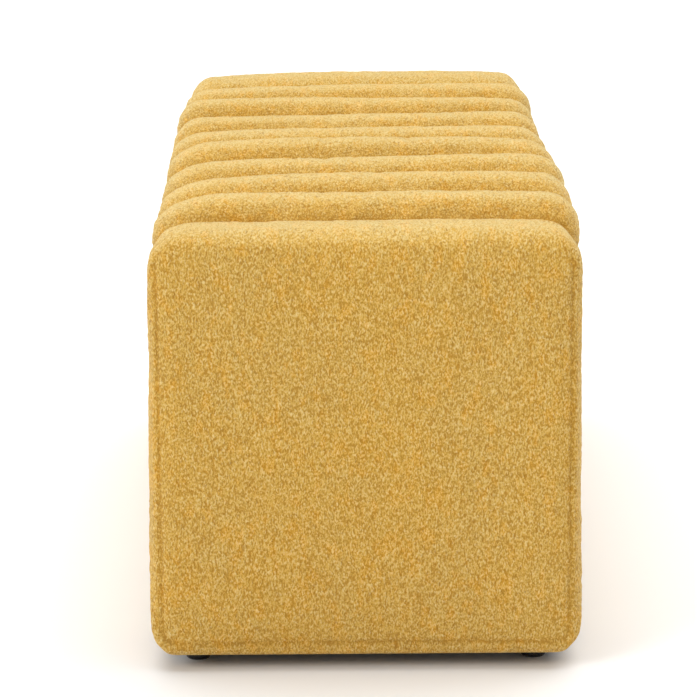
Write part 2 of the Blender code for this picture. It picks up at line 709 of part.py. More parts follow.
def build_lid(lid_axis):
    board = add_box(
        "lid_board", (-channel_end, -wood_y, lid_bottom), (channel_end, wood_y, lid_board_top), "plywood"
    )
    pad = add_channel_pad("lid_channel_pad", lid_section)
    x, y = channel_end - LID_LINING_INSET_X, inner_y - LID_LINING_INSET_Y
    top = lid_bottom - FIT
    lining = add_box("lid_lining", (-x, -y, top - CLOTH), (x, y, top), "lining_cloth")
    for piece in (board, pad, lining):
        attach(piece, lid_axis)
    return board, pad


def build():
    lid_axis = add_empty("lid_hinge_axis", (0, axis_y, axis_z))
    boards = build_box()
    lining = build_cloths()
    build_bumpers()
    add_channel_pad("front_channel_pad", lambda inset: wall_section(inset, -1))
    back_pad = add_channel_pad("back_channel_pad", lambda inset: wall_section(inset, 1))
    lid_board, lid_pad = build_lid(lid_axis)
    for word, side in (("left", -1), ("right", 1)):
        end_slab(f"end_pad_{word}", side)
        build_hinge(word, side, boards["back"], back_pad, lid_board, lid_pad, lid_axis)
        build_stay(word, side, boards[word], lining, lid_axis)
    bpy.context.view_layer.update()


build()
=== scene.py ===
# %% [markdown]
# # A storage ottoman in looped wool
#
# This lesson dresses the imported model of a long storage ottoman. Two fixed end slabs hold a box
# between them, and a lid sewn into eight channels closes it. The whole outside is covered in a thick
# mustard cloth with a short curly pile, which upholsterers call boucle.
#
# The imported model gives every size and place, so the first step opens it. X runs along the length,
# Y goes from the front to the hinges at the back, and Z is up. All lengths are in metres.

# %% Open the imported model
import math

import bpy
import numpy as np
from mathutils import Matrix, Vector


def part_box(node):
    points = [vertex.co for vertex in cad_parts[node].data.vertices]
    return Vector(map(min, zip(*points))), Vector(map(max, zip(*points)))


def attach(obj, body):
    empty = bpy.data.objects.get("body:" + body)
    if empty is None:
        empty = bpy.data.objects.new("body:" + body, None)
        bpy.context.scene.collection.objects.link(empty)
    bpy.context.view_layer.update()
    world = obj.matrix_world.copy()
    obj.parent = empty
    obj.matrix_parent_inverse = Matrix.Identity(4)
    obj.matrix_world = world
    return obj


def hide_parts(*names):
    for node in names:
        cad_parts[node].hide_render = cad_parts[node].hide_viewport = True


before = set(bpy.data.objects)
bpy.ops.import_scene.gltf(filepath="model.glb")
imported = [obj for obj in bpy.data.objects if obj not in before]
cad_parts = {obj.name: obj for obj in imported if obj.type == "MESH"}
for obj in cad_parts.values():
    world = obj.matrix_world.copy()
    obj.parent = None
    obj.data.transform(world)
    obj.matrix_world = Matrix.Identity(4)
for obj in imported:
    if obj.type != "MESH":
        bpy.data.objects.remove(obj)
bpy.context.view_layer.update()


def add_object(name, data):
    """Puts a new object with this data in the scene."""
    made = bpy.data.objects.new(name, data)
    bpy.context.scene.collection.objects.link(made)
    return made


# %% [markdown]
# ## The camera
#
# The ottoman is seen from its short end, from three metres away and a little above the seat, through
# a long lens. A long lens keeps the far end nearly as wide as the near one. The camera is built from
# three unit vectors: where it looks, what is to its right and what is above it.

# %% Camera
CAMERA_PLACE = (3.5560, -0.0234, 1.0452)
CAMERA_PITCH = math.radians(13.322)
CAMERA_YAW = math.radians(0.147)
CAMERA_ROLL = math.radians(-0.387)
SENSOR = 36.0  # its width in millimetres
LENS = 162.8  # focal length in millimetres


def place_camera():
    """Looks along -X, turned to +Y by the yaw, down by the pitch, and tilted by the roll."""
    across = math.cos(CAMERA_PITCH)
    ahead, aside = across * math.cos(CAMERA_YAW), across * math.sin(CAMERA_YAW)
    forward = Vector((-ahead, aside, -math.sin(CAMERA_PITCH)))
    right = forward.cross(Vector((0, 0, 1))).normalized()
    up = right.cross(forward)
    tilted_right = math.cos(CAMERA_ROLL) * right + math.sin(CAMERA_ROLL) * up
    tilted_up = math.cos(CAMERA_ROLL) * up - math.sin(CAMERA_ROLL) * right
    data = bpy.data.cameras.new("camera")
    data.lens = LENS
    data.sensor_width = SENSOR
    camera = add_object("camera", data)
    turn = Matrix((tilted_right, tilted_up, -forward)).transposed()
    camera.matrix_world = Matrix.Translation(CAMERA_PLACE) @ turn.to_4x4()
    bpy.context.scene.camera = camera
    return camera


camera = place_camera()
print("camera lens in mm:", camera.data.lens)

# %% [markdown]
# ## A floor and soft light
#
# Furniture like this is shown on a white sweep under large soft boxes. The floor here is one big pale
# plane, so wide that it fills the whole view. The light comes from a pale sky and from a very wide
# sun high above, so tops are bright and upright faces a third darker. A weaker and narrower light
# from the front left rakes across the pile and brings out its relief.

# %% Floor and lights
FLOOR_REACH = 30.0
FLOOR_COLOUR = (0.93, 0.93, 0.93, 1.0)
SKY_COLOUR = (1.0, 0.995, 0.985, 1.0)
SKY_STRENGTH = 0.485
SUN_STRENGTH = 2.70
SUN_WIDTH = math.radians(75)
SUN_FROM = (-0.35, 0.10, 1.0)
SIDE_STRENGTH = 1.0
SIDE_WIDTH = math.radians(25)
SIDE_FROM = (0.75, -1.0, 0.75)


def lay_floor():
    """A square of matt paint."""
    mesh = bpy.data.meshes.new("floor")
    corners = [(-FLOOR_REACH, -FLOOR_REACH, 0), (FLOOR_REACH, -FLOOR_REACH, 0)]
    corners += [(FLOOR_REACH, FLOOR_REACH, 0), (-FLOOR_REACH, FLOOR_REACH, 0)]
    mesh.from_pydata(corners, [], [(0, 1, 2, 3)])
    floor = add_object("floor", mesh)
    paint = bpy.data.materials.new("floor_paint")
    paint.use_nodes = True
    shader = paint.node_tree.nodes["Principled BSDF"]
    shader.inputs["Base Color"].default_value = FLOOR_COLOUR
    shader.inputs["Roughness"].default_value = 0.9
    shader.inputs["Specular IOR Level"].default_value = 0.1
    mesh.materials.append(paint)


def hang_sun(name, place, strength, width):
    """A distant light in the direction of place; width is the angle it fills."""
    data = bpy.data.lights.new(name, "SUN")
    data.energy = strength
    data.angle = width
    light = add_object(name, data)
    light.rotation_euler = Vector(place).to_track_quat("Z", "Y").to_euler()


def light_sky():
    sky = bpy.data.worlds.new("sky")
    sky.use_nodes = True
    background = sky.node_tree.nodes["Background"]
    background.inputs["Color"].default_value = SKY_COLOUR
    background.inputs["Strength"].default_value = SKY_STRENGTH
    bpy.context.scene.world = sky


lay_floor()
hang_sun("top_light", SUN_FROM, SUN_STRENGTH, SUN_WIDTH)
hang_sun("side_light", SIDE_FROM, SIDE_STRENGTH, SIDE_WIDTH)
light_sky()
bpy.context.scene.view_settings.view_transform = "Standard"

# %% [markdown]
# ## Writing materials as sums
#
# A procedural material is arithmetic on numbers that change over the surface. A small class wraps a
# socket, so that `0.4 + 0.6 * height` adds the Math nodes that it reads like. Everything else goes
# through one method, which adds any node by its type.

# %% Sockets that add up
class Value:
    """A node's output socket that can be used in sums."""

    def __init__(self, finish, socket):
        self.finish = finish
        self.socket = socket

    def math(self, operation, first, second):
        return self.finish.node("ShaderNodeMath", {"operation": operation}, {0: first, 1: second})

    def __add__(self, other):
        return self.math("ADD", self, other)

    def __mul__(self, other):
        return self.math("MULTIPLY", self, other)

    def __sub__(self, other):
        return self.math("SUBTRACT", self, other)

    def __rsub__(self, other):
        return self.math("SUBTRACT", other, self)

    __radd__ = __add__
    __rmul__ = __mul__


class Finish:
    """A material and its nodes."""

    def __init__(self, name, roughness=0.5, metallic=0.0, **plain):
        self.material = bpy.data.materials.new(name)
        self.material.use_nodes = True
        self.tree = self.material.node_tree
        self.shader = self.tree.nodes["Principled BSDF"]
        self.shader.inputs["Roughness"].default_value = roughness
        self.shader.inputs["Metallic"].default_value = metallic
        for socket, value in plain.items():
            self.shader.inputs[socket.replace("_", " ")].default_value = value

    def feed(self, socket, value):
        """Links a Value to a socket, or sets the socket to a plain value."""
        if isinstance(value, Value):
            self.tree.links.new(value.socket, socket)
        else:
            socket.default_value = value

    def node(self, kind, settings=None, inputs=None, output=0):
        """Adds a node, sets its settings and a ramp's stops, feeds its sockets and returns an output."""
        made = self.tree.nodes.new(kind)
        for key, value in (settings or {}).items():
            if key == "stops":
                ramp = made.color_ramp
                while len(ramp.elements) < len(value):
                    ramp.elements.new(0.5)
                for element, (position, colour) in zip(ramp.elements, value):
                    element.position = position
                    element.color = (*colour, 1.0)
            else:
                setattr(made, key, value)
        for key, value in (inputs or {}).items():
            self.feed(made.inputs[key], value)
        return Value(self, made.outputs[output])

    def place(self, scale=(1, 1, 1)):
        """Object coordinates, scaled."""
        coordinates = self.node("ShaderNodeTexCoord", output="Object")
        return self.node("ShaderNodeMapping", {}, {"Vector": coordinates, "Scale": scale})

    def noise(self, vector, scale, detail=2.0, roughness=0.5, distortion=0.0):
        """Soft noise from 0 to 1; scale is the number of its waves in a metre."""
        sockets = {"Vector": vector, "Scale": scale, "Detail": detail, "Roughness": roughness}
        return self.node("ShaderNodeTexNoise", {}, {**sockets, "Distortion": distortion})

    def blend(self, factor, first, second):
        """A colour between two colours."""
        settings = {"data_type": "RGBA", "clamp_factor": True}
        first, second = ((*c, 1.0) if isinstance(c, tuple) else c for c in (first, second))
        return self.node("ShaderNodeMix", settings, {0: factor, 6: first, 7: second}, output=2)

    def spread(self, value, low, high):
        """Stretches a value so that low becomes 0 and high becomes 1."""
        inputs = {"Value": value, "From Min": low, "From Max": high}
        return self.node("ShaderNodeMapRange", {"clamp": True}, inputs)

    def bump(self, height, distance, strength):
        """Relief: distance is how high the height 1 stands, in metres."""
        inputs = {"Height": height, "Distance": distance, "Strength": strength}
        self.feed(self.shader.inputs["Normal"], self.node("ShaderNodeBump", {}, inputs))

    def colour(self, value):
        self.feed(self.shader.inputs["Base Color"], value)

    def rough(self, value):
        self.feed(self.shader.inputs["Roughness"], value)


# %% [markdown]
# ## The curly cloth
#
# Boucle is woven from a looped yarn. Its curls are two to four millimetres across and lie in every
# direction with a slight grain. Light gets lost between them, so the gaps are dark and warm and the
# The curls here are a bent noise: one noise pushes the place at which a second one is
# read, which turns round spots into curls. Sheen gives the pale rim where the cloth turns away.
# The colour also holds painted light: a painted highlight on the channels' crests and the
# slabs' tops, and painted shade down in the seams.

# %% Cloth finish
CURL = 0.0023  # from one curl to the next
CURL_RELIEF = 0.0016
CLOTH_DARK = (0.40, 0.168, 0.013)
CLOTH_MIDDLE = (0.715, 0.432, 0.086)
CLOTH_PALE = (0.93, 0.76, 0.38)
CLOTH_ORANGE = (0.82, 0.42, 0.05)
CLOTH_OLIVE = (0.655, 0.422, 0.105)
CLOTH_GAP = (0.42, 0.185, 0.020)


def curly_cloth(name, grain):
    """grain scales the noise along X, Y and Z: less than 1 makes the curls longer that way.

    The mesh's attribute "rise" is 0 down in a seam and 1 on top of a channel. The colour reads
    it as painted light: a painted highlight on the crests and painted shade towards the seams."""
    cloth = Finish(name, roughness=0.95, Sheen_Weight=0.6, Sheen_Roughness=0.25, Specular_IOR_Level=0.08)
    cloth.shader.inputs["Sheen Tint"].default_value = (1.0, 0.90, 0.58, 1.0)
    place = cloth.place(scale=grain)
    wide = {"Vector": place, "Scale": 0.6 / CURL, "Detail": 1.0}
    push = cloth.node("ShaderNodeTexNoise", {}, wide, output="Color")
    centred = cloth.node("ShaderNodeVectorMath", {"operation": "SUBTRACT"}, {0: push, 1: (0.5, 0.5, 0.5)})
    shift = cloth.node("ShaderNodeVectorMath", {"operation": "SCALE"}, {0: centred, "Scale": 0.9 * CURL})
    bent = cloth.node("ShaderNodeVectorMath", {"operation": "ADD"}, {0: place, 1: shift})
    curls = cloth.noise(bent, 1.35 / CURL, detail=2.5, roughness=0.6)
    cells = {"Vector": bent, "Scale": 1.0 / CURL, "Smoothness": 0.3}
    loops = cloth.node("ShaderNodeTexVoronoi", {"feature": "SMOOTH_F1"}, cells)
    height = cloth.spread(curls, 0.32, 0.68) * 0.62 + (1.0 - loops) * 0.42
    rise = cloth.node("ShaderNodeAttribute", {"attribute_name": "rise"}, output="Fac")
    # painted highlight: the colour is paler on the crests of the channels and the slabs' tops
    crest = cloth.spread(rise, 0.84, 1.0) * 0.42
    # painted shade: the colour is darker down towards the seams
    valley_shade = cloth.spread(rise, 0.78, 0.40) * 0.34
    # painted light: the curls' low parts are painted darker and their tips paler
    tone = cloth.spread(height, 0.30, 0.90) + crest - valley_shade
    stops = [(0.0, CLOTH_DARK), (0.40, CLOTH_MIDDLE), (0.95, CLOTH_PALE)]
    shade = cloth.node("ShaderNodeValToRGB", {"stops": stops}, {"Fac": tone})
    patch = cloth.spread(cloth.noise(place, 14.0, detail=4.0, roughness=0.65), 0.42, 0.58)
    spots = cloth.spread(cloth.noise(place, 70.0, detail=2.5, roughness=0.6), 0.50, 0.66)
    lie = cloth.blend(patch, CLOTH_OLIVE, CLOTH_MIDDLE)
    warm = cloth.blend(spots * 0.9, lie, CLOTH_ORANGE)
    # painted shade in the gaps between the loops
    gaps = cloth.spread(cloth.noise(bent, 0.85 / CURL, detail=1.5), 0.59, 0.70)
    mixed = cloth.blend(0.62, warm, shade)
    cloth.colour(cloth.blend(gaps * 0.62, mixed, CLOTH_GAP))
    cloth.bump(height, CURL_RELIEF, 0.9)
    return cloth.material


slab_cloth = curly_cloth("slab_boucle", (0.58, 1.12, 0.66))
channel_cloth = curly_cloth("channel_boucle", (0.48, 1.10, 1.10))
print("nodes in a cloth:", len(slab_cloth.node_tree.nodes))

# %% [markdown]
# ## Boards, linings and fittings
#
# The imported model's own parts keep their meshes and get these finishes. Plywood shows its plies only
# on its edges. They are drawn as bands across the board's thickness. The thickness is shared out into
# an even number of steps from the middle of a pale ply to the middle of a dark one, so both faces are
# pale and one formula serves the whole board.

# %% Wood
PLY = 0.0025  # about the thickness of one ply of veneer
PLY_PALE = (0.68, 0.49, 0.29)
PLY_DARK = (0.40, 0.24, 0.115)
GRAIN_DARK = (0.50, 0.32, 0.16)
PINE_PALE = (0.74, 0.56, 0.34)
PINE_DARK = (0.56, 0.35, 0.16)


def stretched(along, fine, long):
    """A scale for each axis: long along the grain, and fine across it."""
    return tuple(long if axis == along else fine for axis in range(3))


def ply_steps(thickness):
    """The even number of steps, each about as thick as a ply, between a board's two faces."""
    return 2 * round(thickness / (2 * PLY))


def plywood(name, thin_axis, low, high, along):
    """low and high are where the board's faces lie on the thin axis."""
    ply = (high - low) / ply_steps(high - low)
    wood = Finish(name, roughness=0.6, Specular_IOR_Level=0.35)
    coordinates = wood.node("ShaderNodeTexCoord", output="Object")
    axes = [wood.node("ShaderNodeSeparateXYZ", {}, {0: coordinates}, output=k) for k in range(3)]
    plies = wood.node("ShaderNodeMath", {"operation": "PINGPONG"}, {0: axes[thin_axis] - low, 1: ply})
    band = wood.spread(plies, 0.45 * ply, 0.6 * ply)
    grain = wood.noise(wood.place(scale=stretched(along, 260.0, 9.0)), 1.0, detail=4.0, distortion=0.6)
    figure = wood.noise(wood.place(scale=stretched(along, 22.0, 1.6)), 1.0, detail=2.0, distortion=1.5)
    fleck = wood.spread(grain, 0.42, 0.72)
    face = wood.blend(fleck * 0.55, PLY_PALE, GRAIN_DARK)
    face = wood.blend(wood.spread(figure, 0.45, 0.60) * 0.25, face, GRAIN_DARK)
    wood.colour(wood.blend(band * 0.8, face, PLY_DARK))
    wood.rough(0.50 + 0.2 * fleck)
    wood.bump(grain, 0.0004, 0.6)
    return wood.material


def pine(name, along):
    wood = Finish(name, roughness=0.65, Specular_IOR_Level=0.3)
    rings = wood.noise(wood.place(scale=stretched(along, 150.0, 3.0)), 1.0, detail=3.0, distortion=0.8)
    pores = wood.noise(wood.place(scale=stretched(along, 900.0, 40.0)), 1.0, detail=2.0)
    late = wood.spread(rings, 0.44, 0.62)
    wood.colour(wood.blend(late * 0.7, PINE_PALE, PINE_DARK))
    wood.rough(0.55 + 0.25 * pores)
    wood.bump(pores, 0.0003, 0.5)
    return wood.material


def weave(name, thread, pale, dark, bond=0.0):
    """Plain cloth with a step of thread from one thread to the next. bond adds pressed dots."""
    cloth = Finish(name, roughness=0.92, Sheen_Weight=0.25, Sheen_Roughness=0.5, Specular_IOR_Level=0.15)
    coordinates = cloth.place(scale=(1 / thread,) * 3)
    bands = {"Vector": coordinates, "Scale": 0.5}
    checker = cloth.node("ShaderNodeTexWave", {"bands_direction": "DIAGONAL"}, bands)
    fibre = cloth.noise(cloth.place(), 900.0, detail=3.0)
    fold = cloth.noise(cloth.place(), 7.0, detail=2.0, distortion=0.8)
    height = checker * 0.5 + fibre * 0.5
    if bond:
        grid = {"Vector": cloth.place(), "Scale": 1 / bond, "Randomness": 0.15}
        dots = cloth.node("ShaderNodeTexVoronoi", {}, grid)
        height = height * cloth.spread(dots, 0.15, 0.35)
    cloth.colour(cloth.blend(cloth.spread(height, 0.15, 0.85), dark, pale))
    cloth.rough(0.80 + 0.15 * fibre)
    fine = cloth.node("ShaderNodeBump", {}, {"Height": height, "Distance": 0.0004, "Strength": 0.7})
    folds = {"Height": fold, "Distance": 0.010, "Strength": 0.35, "Normal": fine}
    soft = cloth.node("ShaderNodeBump", {}, folds)
    cloth.feed(cloth.shader.inputs["Normal"], soft)
    return cloth.material


print("plies in a board of 12 mm:", ply_steps(0.012) + 1)

# %% [markdown]
# The feet are moulded in a glossy black plastic, the bumpers are rubber, and everything that turns is
# zinc-plated steel: a bluish grey with cloudy patches and fine scratches.

# %% Plastic, rubber and steel
def speckled(name, pale, dark, scale, roughness, depth, metallic=0.0, scratch=0.0):
    """A moulded or plated surface: cloudy colour, uneven gloss and a fine relief."""
    solid = Finish(name, metallic=metallic)
    clouds = solid.noise(solid.place(), scale, detail=4.0, roughness=0.6)
    fine = solid.noise(solid.place(), scale * 12.0, detail=2.0)
    cloud = solid.spread(clouds, 0.35, 0.65)
    solid.colour(solid.blend(cloud, dark, pale))
    gloss = roughness + 0.14 * cloud
    if scratch:
        lines = solid.noise(solid.place(scale=(60.0, 2600.0, 900.0)), 1.0, detail=2.0)
        fine = fine + scratch * solid.spread(lines, 0.55, 0.75)
        gloss = gloss + 0.12 * solid.spread(lines, 0.6, 0.8)
    solid.rough(gloss)
    solid.bump(fine, depth, 0.5)
    return solid.material


foot_plastic = speckled("foot_plastic", (0.022, 0.021, 0.020), (0.011, 0.010, 0.010), 90.0, 0.20, 0.0001)
rubber = speckled("bumper_rubber", (0.040, 0.040, 0.041), (0.022, 0.022, 0.023), 240.0, 0.70, 0.0003)
zinc = speckled(
    "zinc_plate", (0.70, 0.70, 0.69), (0.52, 0.53, 0.54), 130.0, 0.24, 0.00008, metallic=1.0, scratch=0.6
)
lining = weave("lining_weave", 0.0011, (0.135, 0.135, 0.145), (0.055, 0.055, 0.060))
dust = weave("dust_cloth", 0.0016, (0.035, 0.035, 0.036), (0.014, 0.014, 0.015), bond=0.0042)

# %% [markdown]
# Each part is dressed by the start of its name: the first one in the table that fits decides. What
# fits none is a board. A board's thin axis is the one on which its box is smallest, and its grain
# runs along the longest.

# %% Dress the parts
DRESSED = {
    "hinge_": zinc,
    "stay_": zinc,
    "foot_screw_": zinc,
    "foot_": foot_plastic,
    "lid_bumper_": rubber,
    "storage_lining": lining,
    "lid_lining": lining,
    "dust_cover": dust,
}
PINE_PARTS = ("corner_post_", "floor_cleat_")
BARE_PARTS = [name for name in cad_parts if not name.endswith("_pad")]


def board_finish(name):
    """Pine for the posts and cleats and plywood for the rest, turned to the board's own sides."""
    low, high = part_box(name)
    sides = list(high - low)
    thin, long = sides.index(min(sides)), sides.index(max(sides))
    if name.startswith(PINE_PARTS):
        return pine(f"{name}_pine", long)
    return plywood(f"{name}_ply", thin, low[thin], high[thin], long)


for name in BARE_PARTS:
    fitting = [finish for start, finish in DRESSED.items() if name.startswith(start)]
    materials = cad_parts[name].data.materials
    materials.clear()
    materials.append(fitting[0] if fitting else board_finish(name))
print("dressed", len(BARE_PARTS), "parts of the packed model")

# %% [markdown]
# ## Noise for shapes
#
# Materials change how light meets a surface, but an outline needs real geometry. The same kind of
# noise is worked out here with numpy, for all points at once: a random number at each corner of a
# cubic lattice, blended across each cell by a smooth step. A second formula fades an effect in.

# %% Lattice noise
def lattice_noise(points, cell, seed):
    """Smooth noise from -1 to 1. cell is the lattice's step: one length, or one for each axis."""
    scaled = points / np.asarray(cell, float)
    corner = np.floor(scaled).astype(np.int64)
    part = scaled - corner
    part = part * part * (3.0 - 2.0 * part)
    total = np.zeros(points.shape[:-1])
    for step in np.ndindex(2, 2, 2):
        key = (corner + np.array(step) + 4096).astype(np.uint64)
        mixed = key[..., 0] * np.uint64(73856093) ^ key[..., 1] * np.uint64(19349663)
        mixed ^= key[..., 2] * np.uint64(83492791) ^ np.uint64(seed * 2654435761 % 4294967296)
        mixed = (mixed ^ (mixed >> np.uint64(13))) * np.uint64(1274126177) % np.uint64(4294967296)
        mixed = (mixed ^ (mixed >> np.uint64(16))) * np.uint64(2246822519) % np.uint64(4294967296)
        value = (mixed % np.uint64(65536)).astype(float) / 32767.5 - 1.0
        weight = np.prod(np.where(np.array(step) == 1, part, 1.0 - part), axis=-1)
        total += value * weight
    return total


def fade(value, start, length):
    """0 up to the start, then rising evenly to 1 over the length: (value - start) / length, clipped."""
    return ((value - start) / length).clip(0, 1)


PILE_SEED = 11
PILE_HEIGHT = 0.0005
PILE_CELLS = (0.0045, 0.0028)
LIE_HEIGHT = 0.0008
LIE_CELLS = (0.060, 0.024)
FINER_SHARE = 0.6  # of the height, which the finer noise of a pair has


def pile_height(points):
    """Curls, plus the wider rise and fall of how the pile lies."""

    def pair(cells, seed):
        fine = FINER_SHARE * lattice_noise(points, cells[1], seed + 1)
        return lattice_noise(points, cells[0], seed) + fine

    return PILE_HEIGHT * pair(PILE_CELLS, PILE_SEED) + LIE_HEIGHT * pair(LIE_CELLS, PILE_SEED + 2)


# %% [markdown]
# ## Letting the padding swell
#
# Foam pushes a tight cover out everywhere except where thread holds it down. Blender's cloth does the
# same with a little air pressure, and a pinned group stands for the seams and the stapled edges. How
# far a point may move is capped, because foam is firm. The mesh is coarse here, and finer points are
# put in afterwards.

# %% Cloth simulation
CLOTH_FRAMES = 14


def read_points(mesh, what="co"):
    """The points of a mesh, or with what set to "normal" its normals."""
    values = np.empty(len(mesh.vertices) * 3)
    mesh.vertices.foreach_get(what, values)
    return values.reshape(-1, 3)


def settle(mesh, held, pressure, cap, spare=0.02):
    """Blows the cover up from inside and returns its points. held is true where it is sewn or stapled.

    No point moves further than cap. spare is how much longer the cloth is than the form below it."""
    start = read_points(mesh)
    body = add_object("settling", mesh)
    group = body.vertex_groups.new(name="held")
    group.add([int(i) for i in np.flatnonzero(held)], 1.0, "REPLACE")
    step = body.modifiers.new("cloth", "CLOTH")
    cloth = step.settings
    cloth.quality = 4
    cloth.mass = 0.25
    cloth.tension_stiffness = 12.0
    cloth.compression_stiffness = 12.0
    cloth.bending_stiffness = 0.6
    cloth.shrink_min = -spare
    cloth.vertex_group_mass = "held"
    cloth.use_pressure = True
    cloth.uniform_pressure_force = pressure
    cloth.effector_weights.gravity = 0.0
    step.collision_settings.use_collision = False
    step.point_cache.frame_start = 1
    step.point_cache.frame_end = CLOTH_FRAMES
    scene = bpy.context.scene
    for number in range(1, CLOTH_FRAMES + 1):
        scene.frame_set(number)
    graph = bpy.context.evaluated_depsgraph_get()
    move = read_points(body.evaluated_get(graph).to_mesh()) - start
    length = np.linalg.norm(move, axis=1, keepdims=True)
    move *= cap * np.tanh(length / cap) / np.maximum(length, 1e-9)
    bpy.data.objects.remove(body, do_unlink=True)
    scene.frame_set(1)
    print("swelled by up to", round(1000 * np.linalg.norm(move, axis=1).max(), 1), "mm")
    return start + move


# %% [markdown]
# ## Sewn channels
#
# The lid, the front and the back are each one sheet of padding sewn through on straight lines across
# the length. A channel's section is half an ellipse: with t from -1 to 1 across the channel, the
# cover lies below its crest by the depth times 1 minus the square root of 1 - t squared.
#
# Each sheet is a grid. Its rows follow each other along X, and its columns go around the section from
# one stapled edge, over the outside, to the other. No hand stuffs eight channels alike, so each has
# its own fullness at the front, the middle and the back.

# %% Channel sheet
CHANNELS = 8
CELL = 0.0052  # grid step of the simulated sheet
CROWDING = 1.25  # above 1 it draws the rows towards the seams
CAP_ROWS = 5  # rows that close a sheet's end
ROLL_POINTS = 7  # columns around the roll at a sheet's edge, where the cover is pulled tight
SKIN = 0.0006  # thickness of the cover, and the unit of small steps past or short of a board
PUCKER = 0.0044  # short creases that the thread pulls in beside a seam
PUCKER_REACH = 0.22  # how far over a channel's half they go
PUCKER_CELL = (0.050, 0.013, 1.0)
WAVER = 0.0022  # how far a seam strays from its straight line
WAVER_CELL = (0.30, 0.09, 1.0)
WAVER_FADE = 0.02  # from a sheet's end, which stays straight, to the full waver
# Each channel's extra height at the front, in the middle of the top and at the back.
FULLNESS = np.array(
    [
        (-0.0060, 0.0000, 0.0000),
        (0.0000, 0.0006, -0.0015),
        (-0.0060, -0.0030, 0.0000),
        (-0.0060, -0.0010, -0.0010),
        (0.0005, 0.0070, 0.0020),
        (-0.0015, 0.0030, 0.0055),
        (-0.0010, 0.0055, 0.0035),
        (0.0040, 0.0050, 0.0040),
    ]
)


def channel_rows(half_length):
    """X, the place across the channel from -1 to 1, and the channel's number, for each row."""
    pitch = 2.0 * half_length / CHANNELS
    steps = int(round(pitch / CELL))
    even = np.linspace(-1.0, 1.0, steps + 1)[:-1]
    across = np.sign(even) * (1.0 - (1.0 - np.abs(even)) ** CROWDING)
    number = np.repeat(np.arange(CHANNELS), steps)
    across = np.append(np.tile(across, CHANNELS), 1.0)
    number = np.append(number, CHANNELS - 1)
    x = -half_length + (number + 0.5 + across / 2.0) * pitch
    return x, across, number


def fullness_at(number, share):
    """A channel's extra height: a parabola through its three values.

    With share going from 0 at the front to 1 at the back, and s = 2 * share - 1, it is
    middle + s * (back - front) / 2 + s^2 * ((front + back) / 2 - middle)."""
    front, middle, back = (FULLNESS[number, k][:, None] for k in range(3))
    side = 2.0 * share[None, :] - 1.0
    return middle + side * (back - front) / 2.0 + side**2 * ((front + back) / 2.0 - middle)


def arch_drop(across):
    """0 on a channel's crest and 1 in its seams: 1 - sqrt(1 - across^2)."""
    return 1.0 - np.sqrt(np.maximum(1.0 - np.abs(across) ** 2.0, 0.0))


def channel_sheet(path, inward, depth, half_length, fullness, seed):
    """A grid of points: the path around the section, sunk inward by the channels' arches.

    path holds Y and Z, for each row or for all rows alike. inward and depth have a value for each
    column. fullness is the share of a channel's extra height that shows, for all columns or for each."""
    x, across, number = channel_rows(half_length)
    path = np.broadcast_to(path, (len(x), *path.shape[-2:]))
    step = np.linalg.norm(np.diff(path[len(x) // 2], axis=0), axis=1)
    along = np.concatenate([[0.0], np.cumsum(step)])
    share = (path[0, :, 0] - path[0, :, 0].min()) / max(np.ptp(path[0, :, 0]), 1e-6)
    arch = arch_drop(across)
    full = fullness_at(number, share) * fullness * (1.0 - across[:, None] ** 2)
    sink = arch[:, None] * depth[None, :] - full
    flat = np.stack(np.broadcast_arrays(x[:, None], along[None, :], 0.0 * x[:, None]), axis=-1)
    seam = np.exp(-(1.0 - np.abs(across)) / PUCKER_REACH)[:, None]
    pucker = lattice_noise(flat, PUCKER_CELL, seed) * PUCKER * seam * (1.0 - seam)
    waver = lattice_noise(flat, WAVER_CELL, seed + 1) * WAVER
    ends = np.minimum(1.0, np.minimum(x - x[0], x[-1] - x) / WAVER_FADE)[:, None]
    points = np.empty((len(x), len(along), 3))
    points[..., 0] = x[:, None] + waver * ends
    points[..., 1:] = path + inward[None] * (sink + pucker)[..., None]
    return points, across


def cap_ends(points, edge_line):
    """Adds rows at both ends that close the sheet down to edge_line, one (Y, Z) point for each column."""
    share = (np.arange(1, CAP_ROWS + 1) / CAP_ROWS)[:, None, None]
    capped = []
    for row in (points[0], points[-1]):
        target = np.column_stack([np.full(len(row), row[0, 0]), edge_line])
        capped.append(row[None] * (1.0 - share) + target[None] * share)
    return np.concatenate([capped[0][::-1], points, capped[1]])


def grid_faces(rows, columns):
    """The four corners of every cell; the normal is along X times the way around the section."""
    index = np.arange(rows * columns).reshape(rows, columns)
    corners = (index[:-1, :-1], index[1:, :-1], index[1:, 1:], index[:-1, 1:])
    return np.stack([corner.ravel() for corner in corners], axis=1)


def mesh_of(name, points, faces, *closing):
    """A mesh from a grid's quads, and from closing faces of any number of corners."""
    mesh = bpy.data.meshes.new(name)
    extra = [[int(i) for i in corners] for corners in closing]
    mesh.from_pydata(points.reshape(-1, 3).tolist(), [], faces.tolist() + extra)
    mesh.update()
    return mesh


def denser(points):
    """Puts a point midway between neighbours on both axes, on the cubic through four of them.

    Between b and c, with a and d beyond them, that is (9 * (b + c) - a - d) / 16."""
    for axis in (0, 1):
        moved = np.moveaxis(points, axis, 0)
        middle = (moved[1:] + moved[:-1]) / 2.0
        middle[1:-1] = (9.0 * (moved[1:-2] + moved[2:-1]) - moved[:-3] - moved[3:]) / 16.0
        woven = np.empty((len(moved) * 2 - 1, *moved.shape[1:]))
        woven[0::2] = moved
        woven[1::2] = middle
        points = np.moveaxis(woven, 0, axis)
    return points


def grid_normals(points):
    """The unit normal at each point: the cross product of the grid's two directions."""
    normal = np.cross(np.gradient(points, axis=0), np.gradient(points, axis=1))
    return normal / np.maximum(np.linalg.norm(normal, axis=-1, keepdims=True), 1e-12)


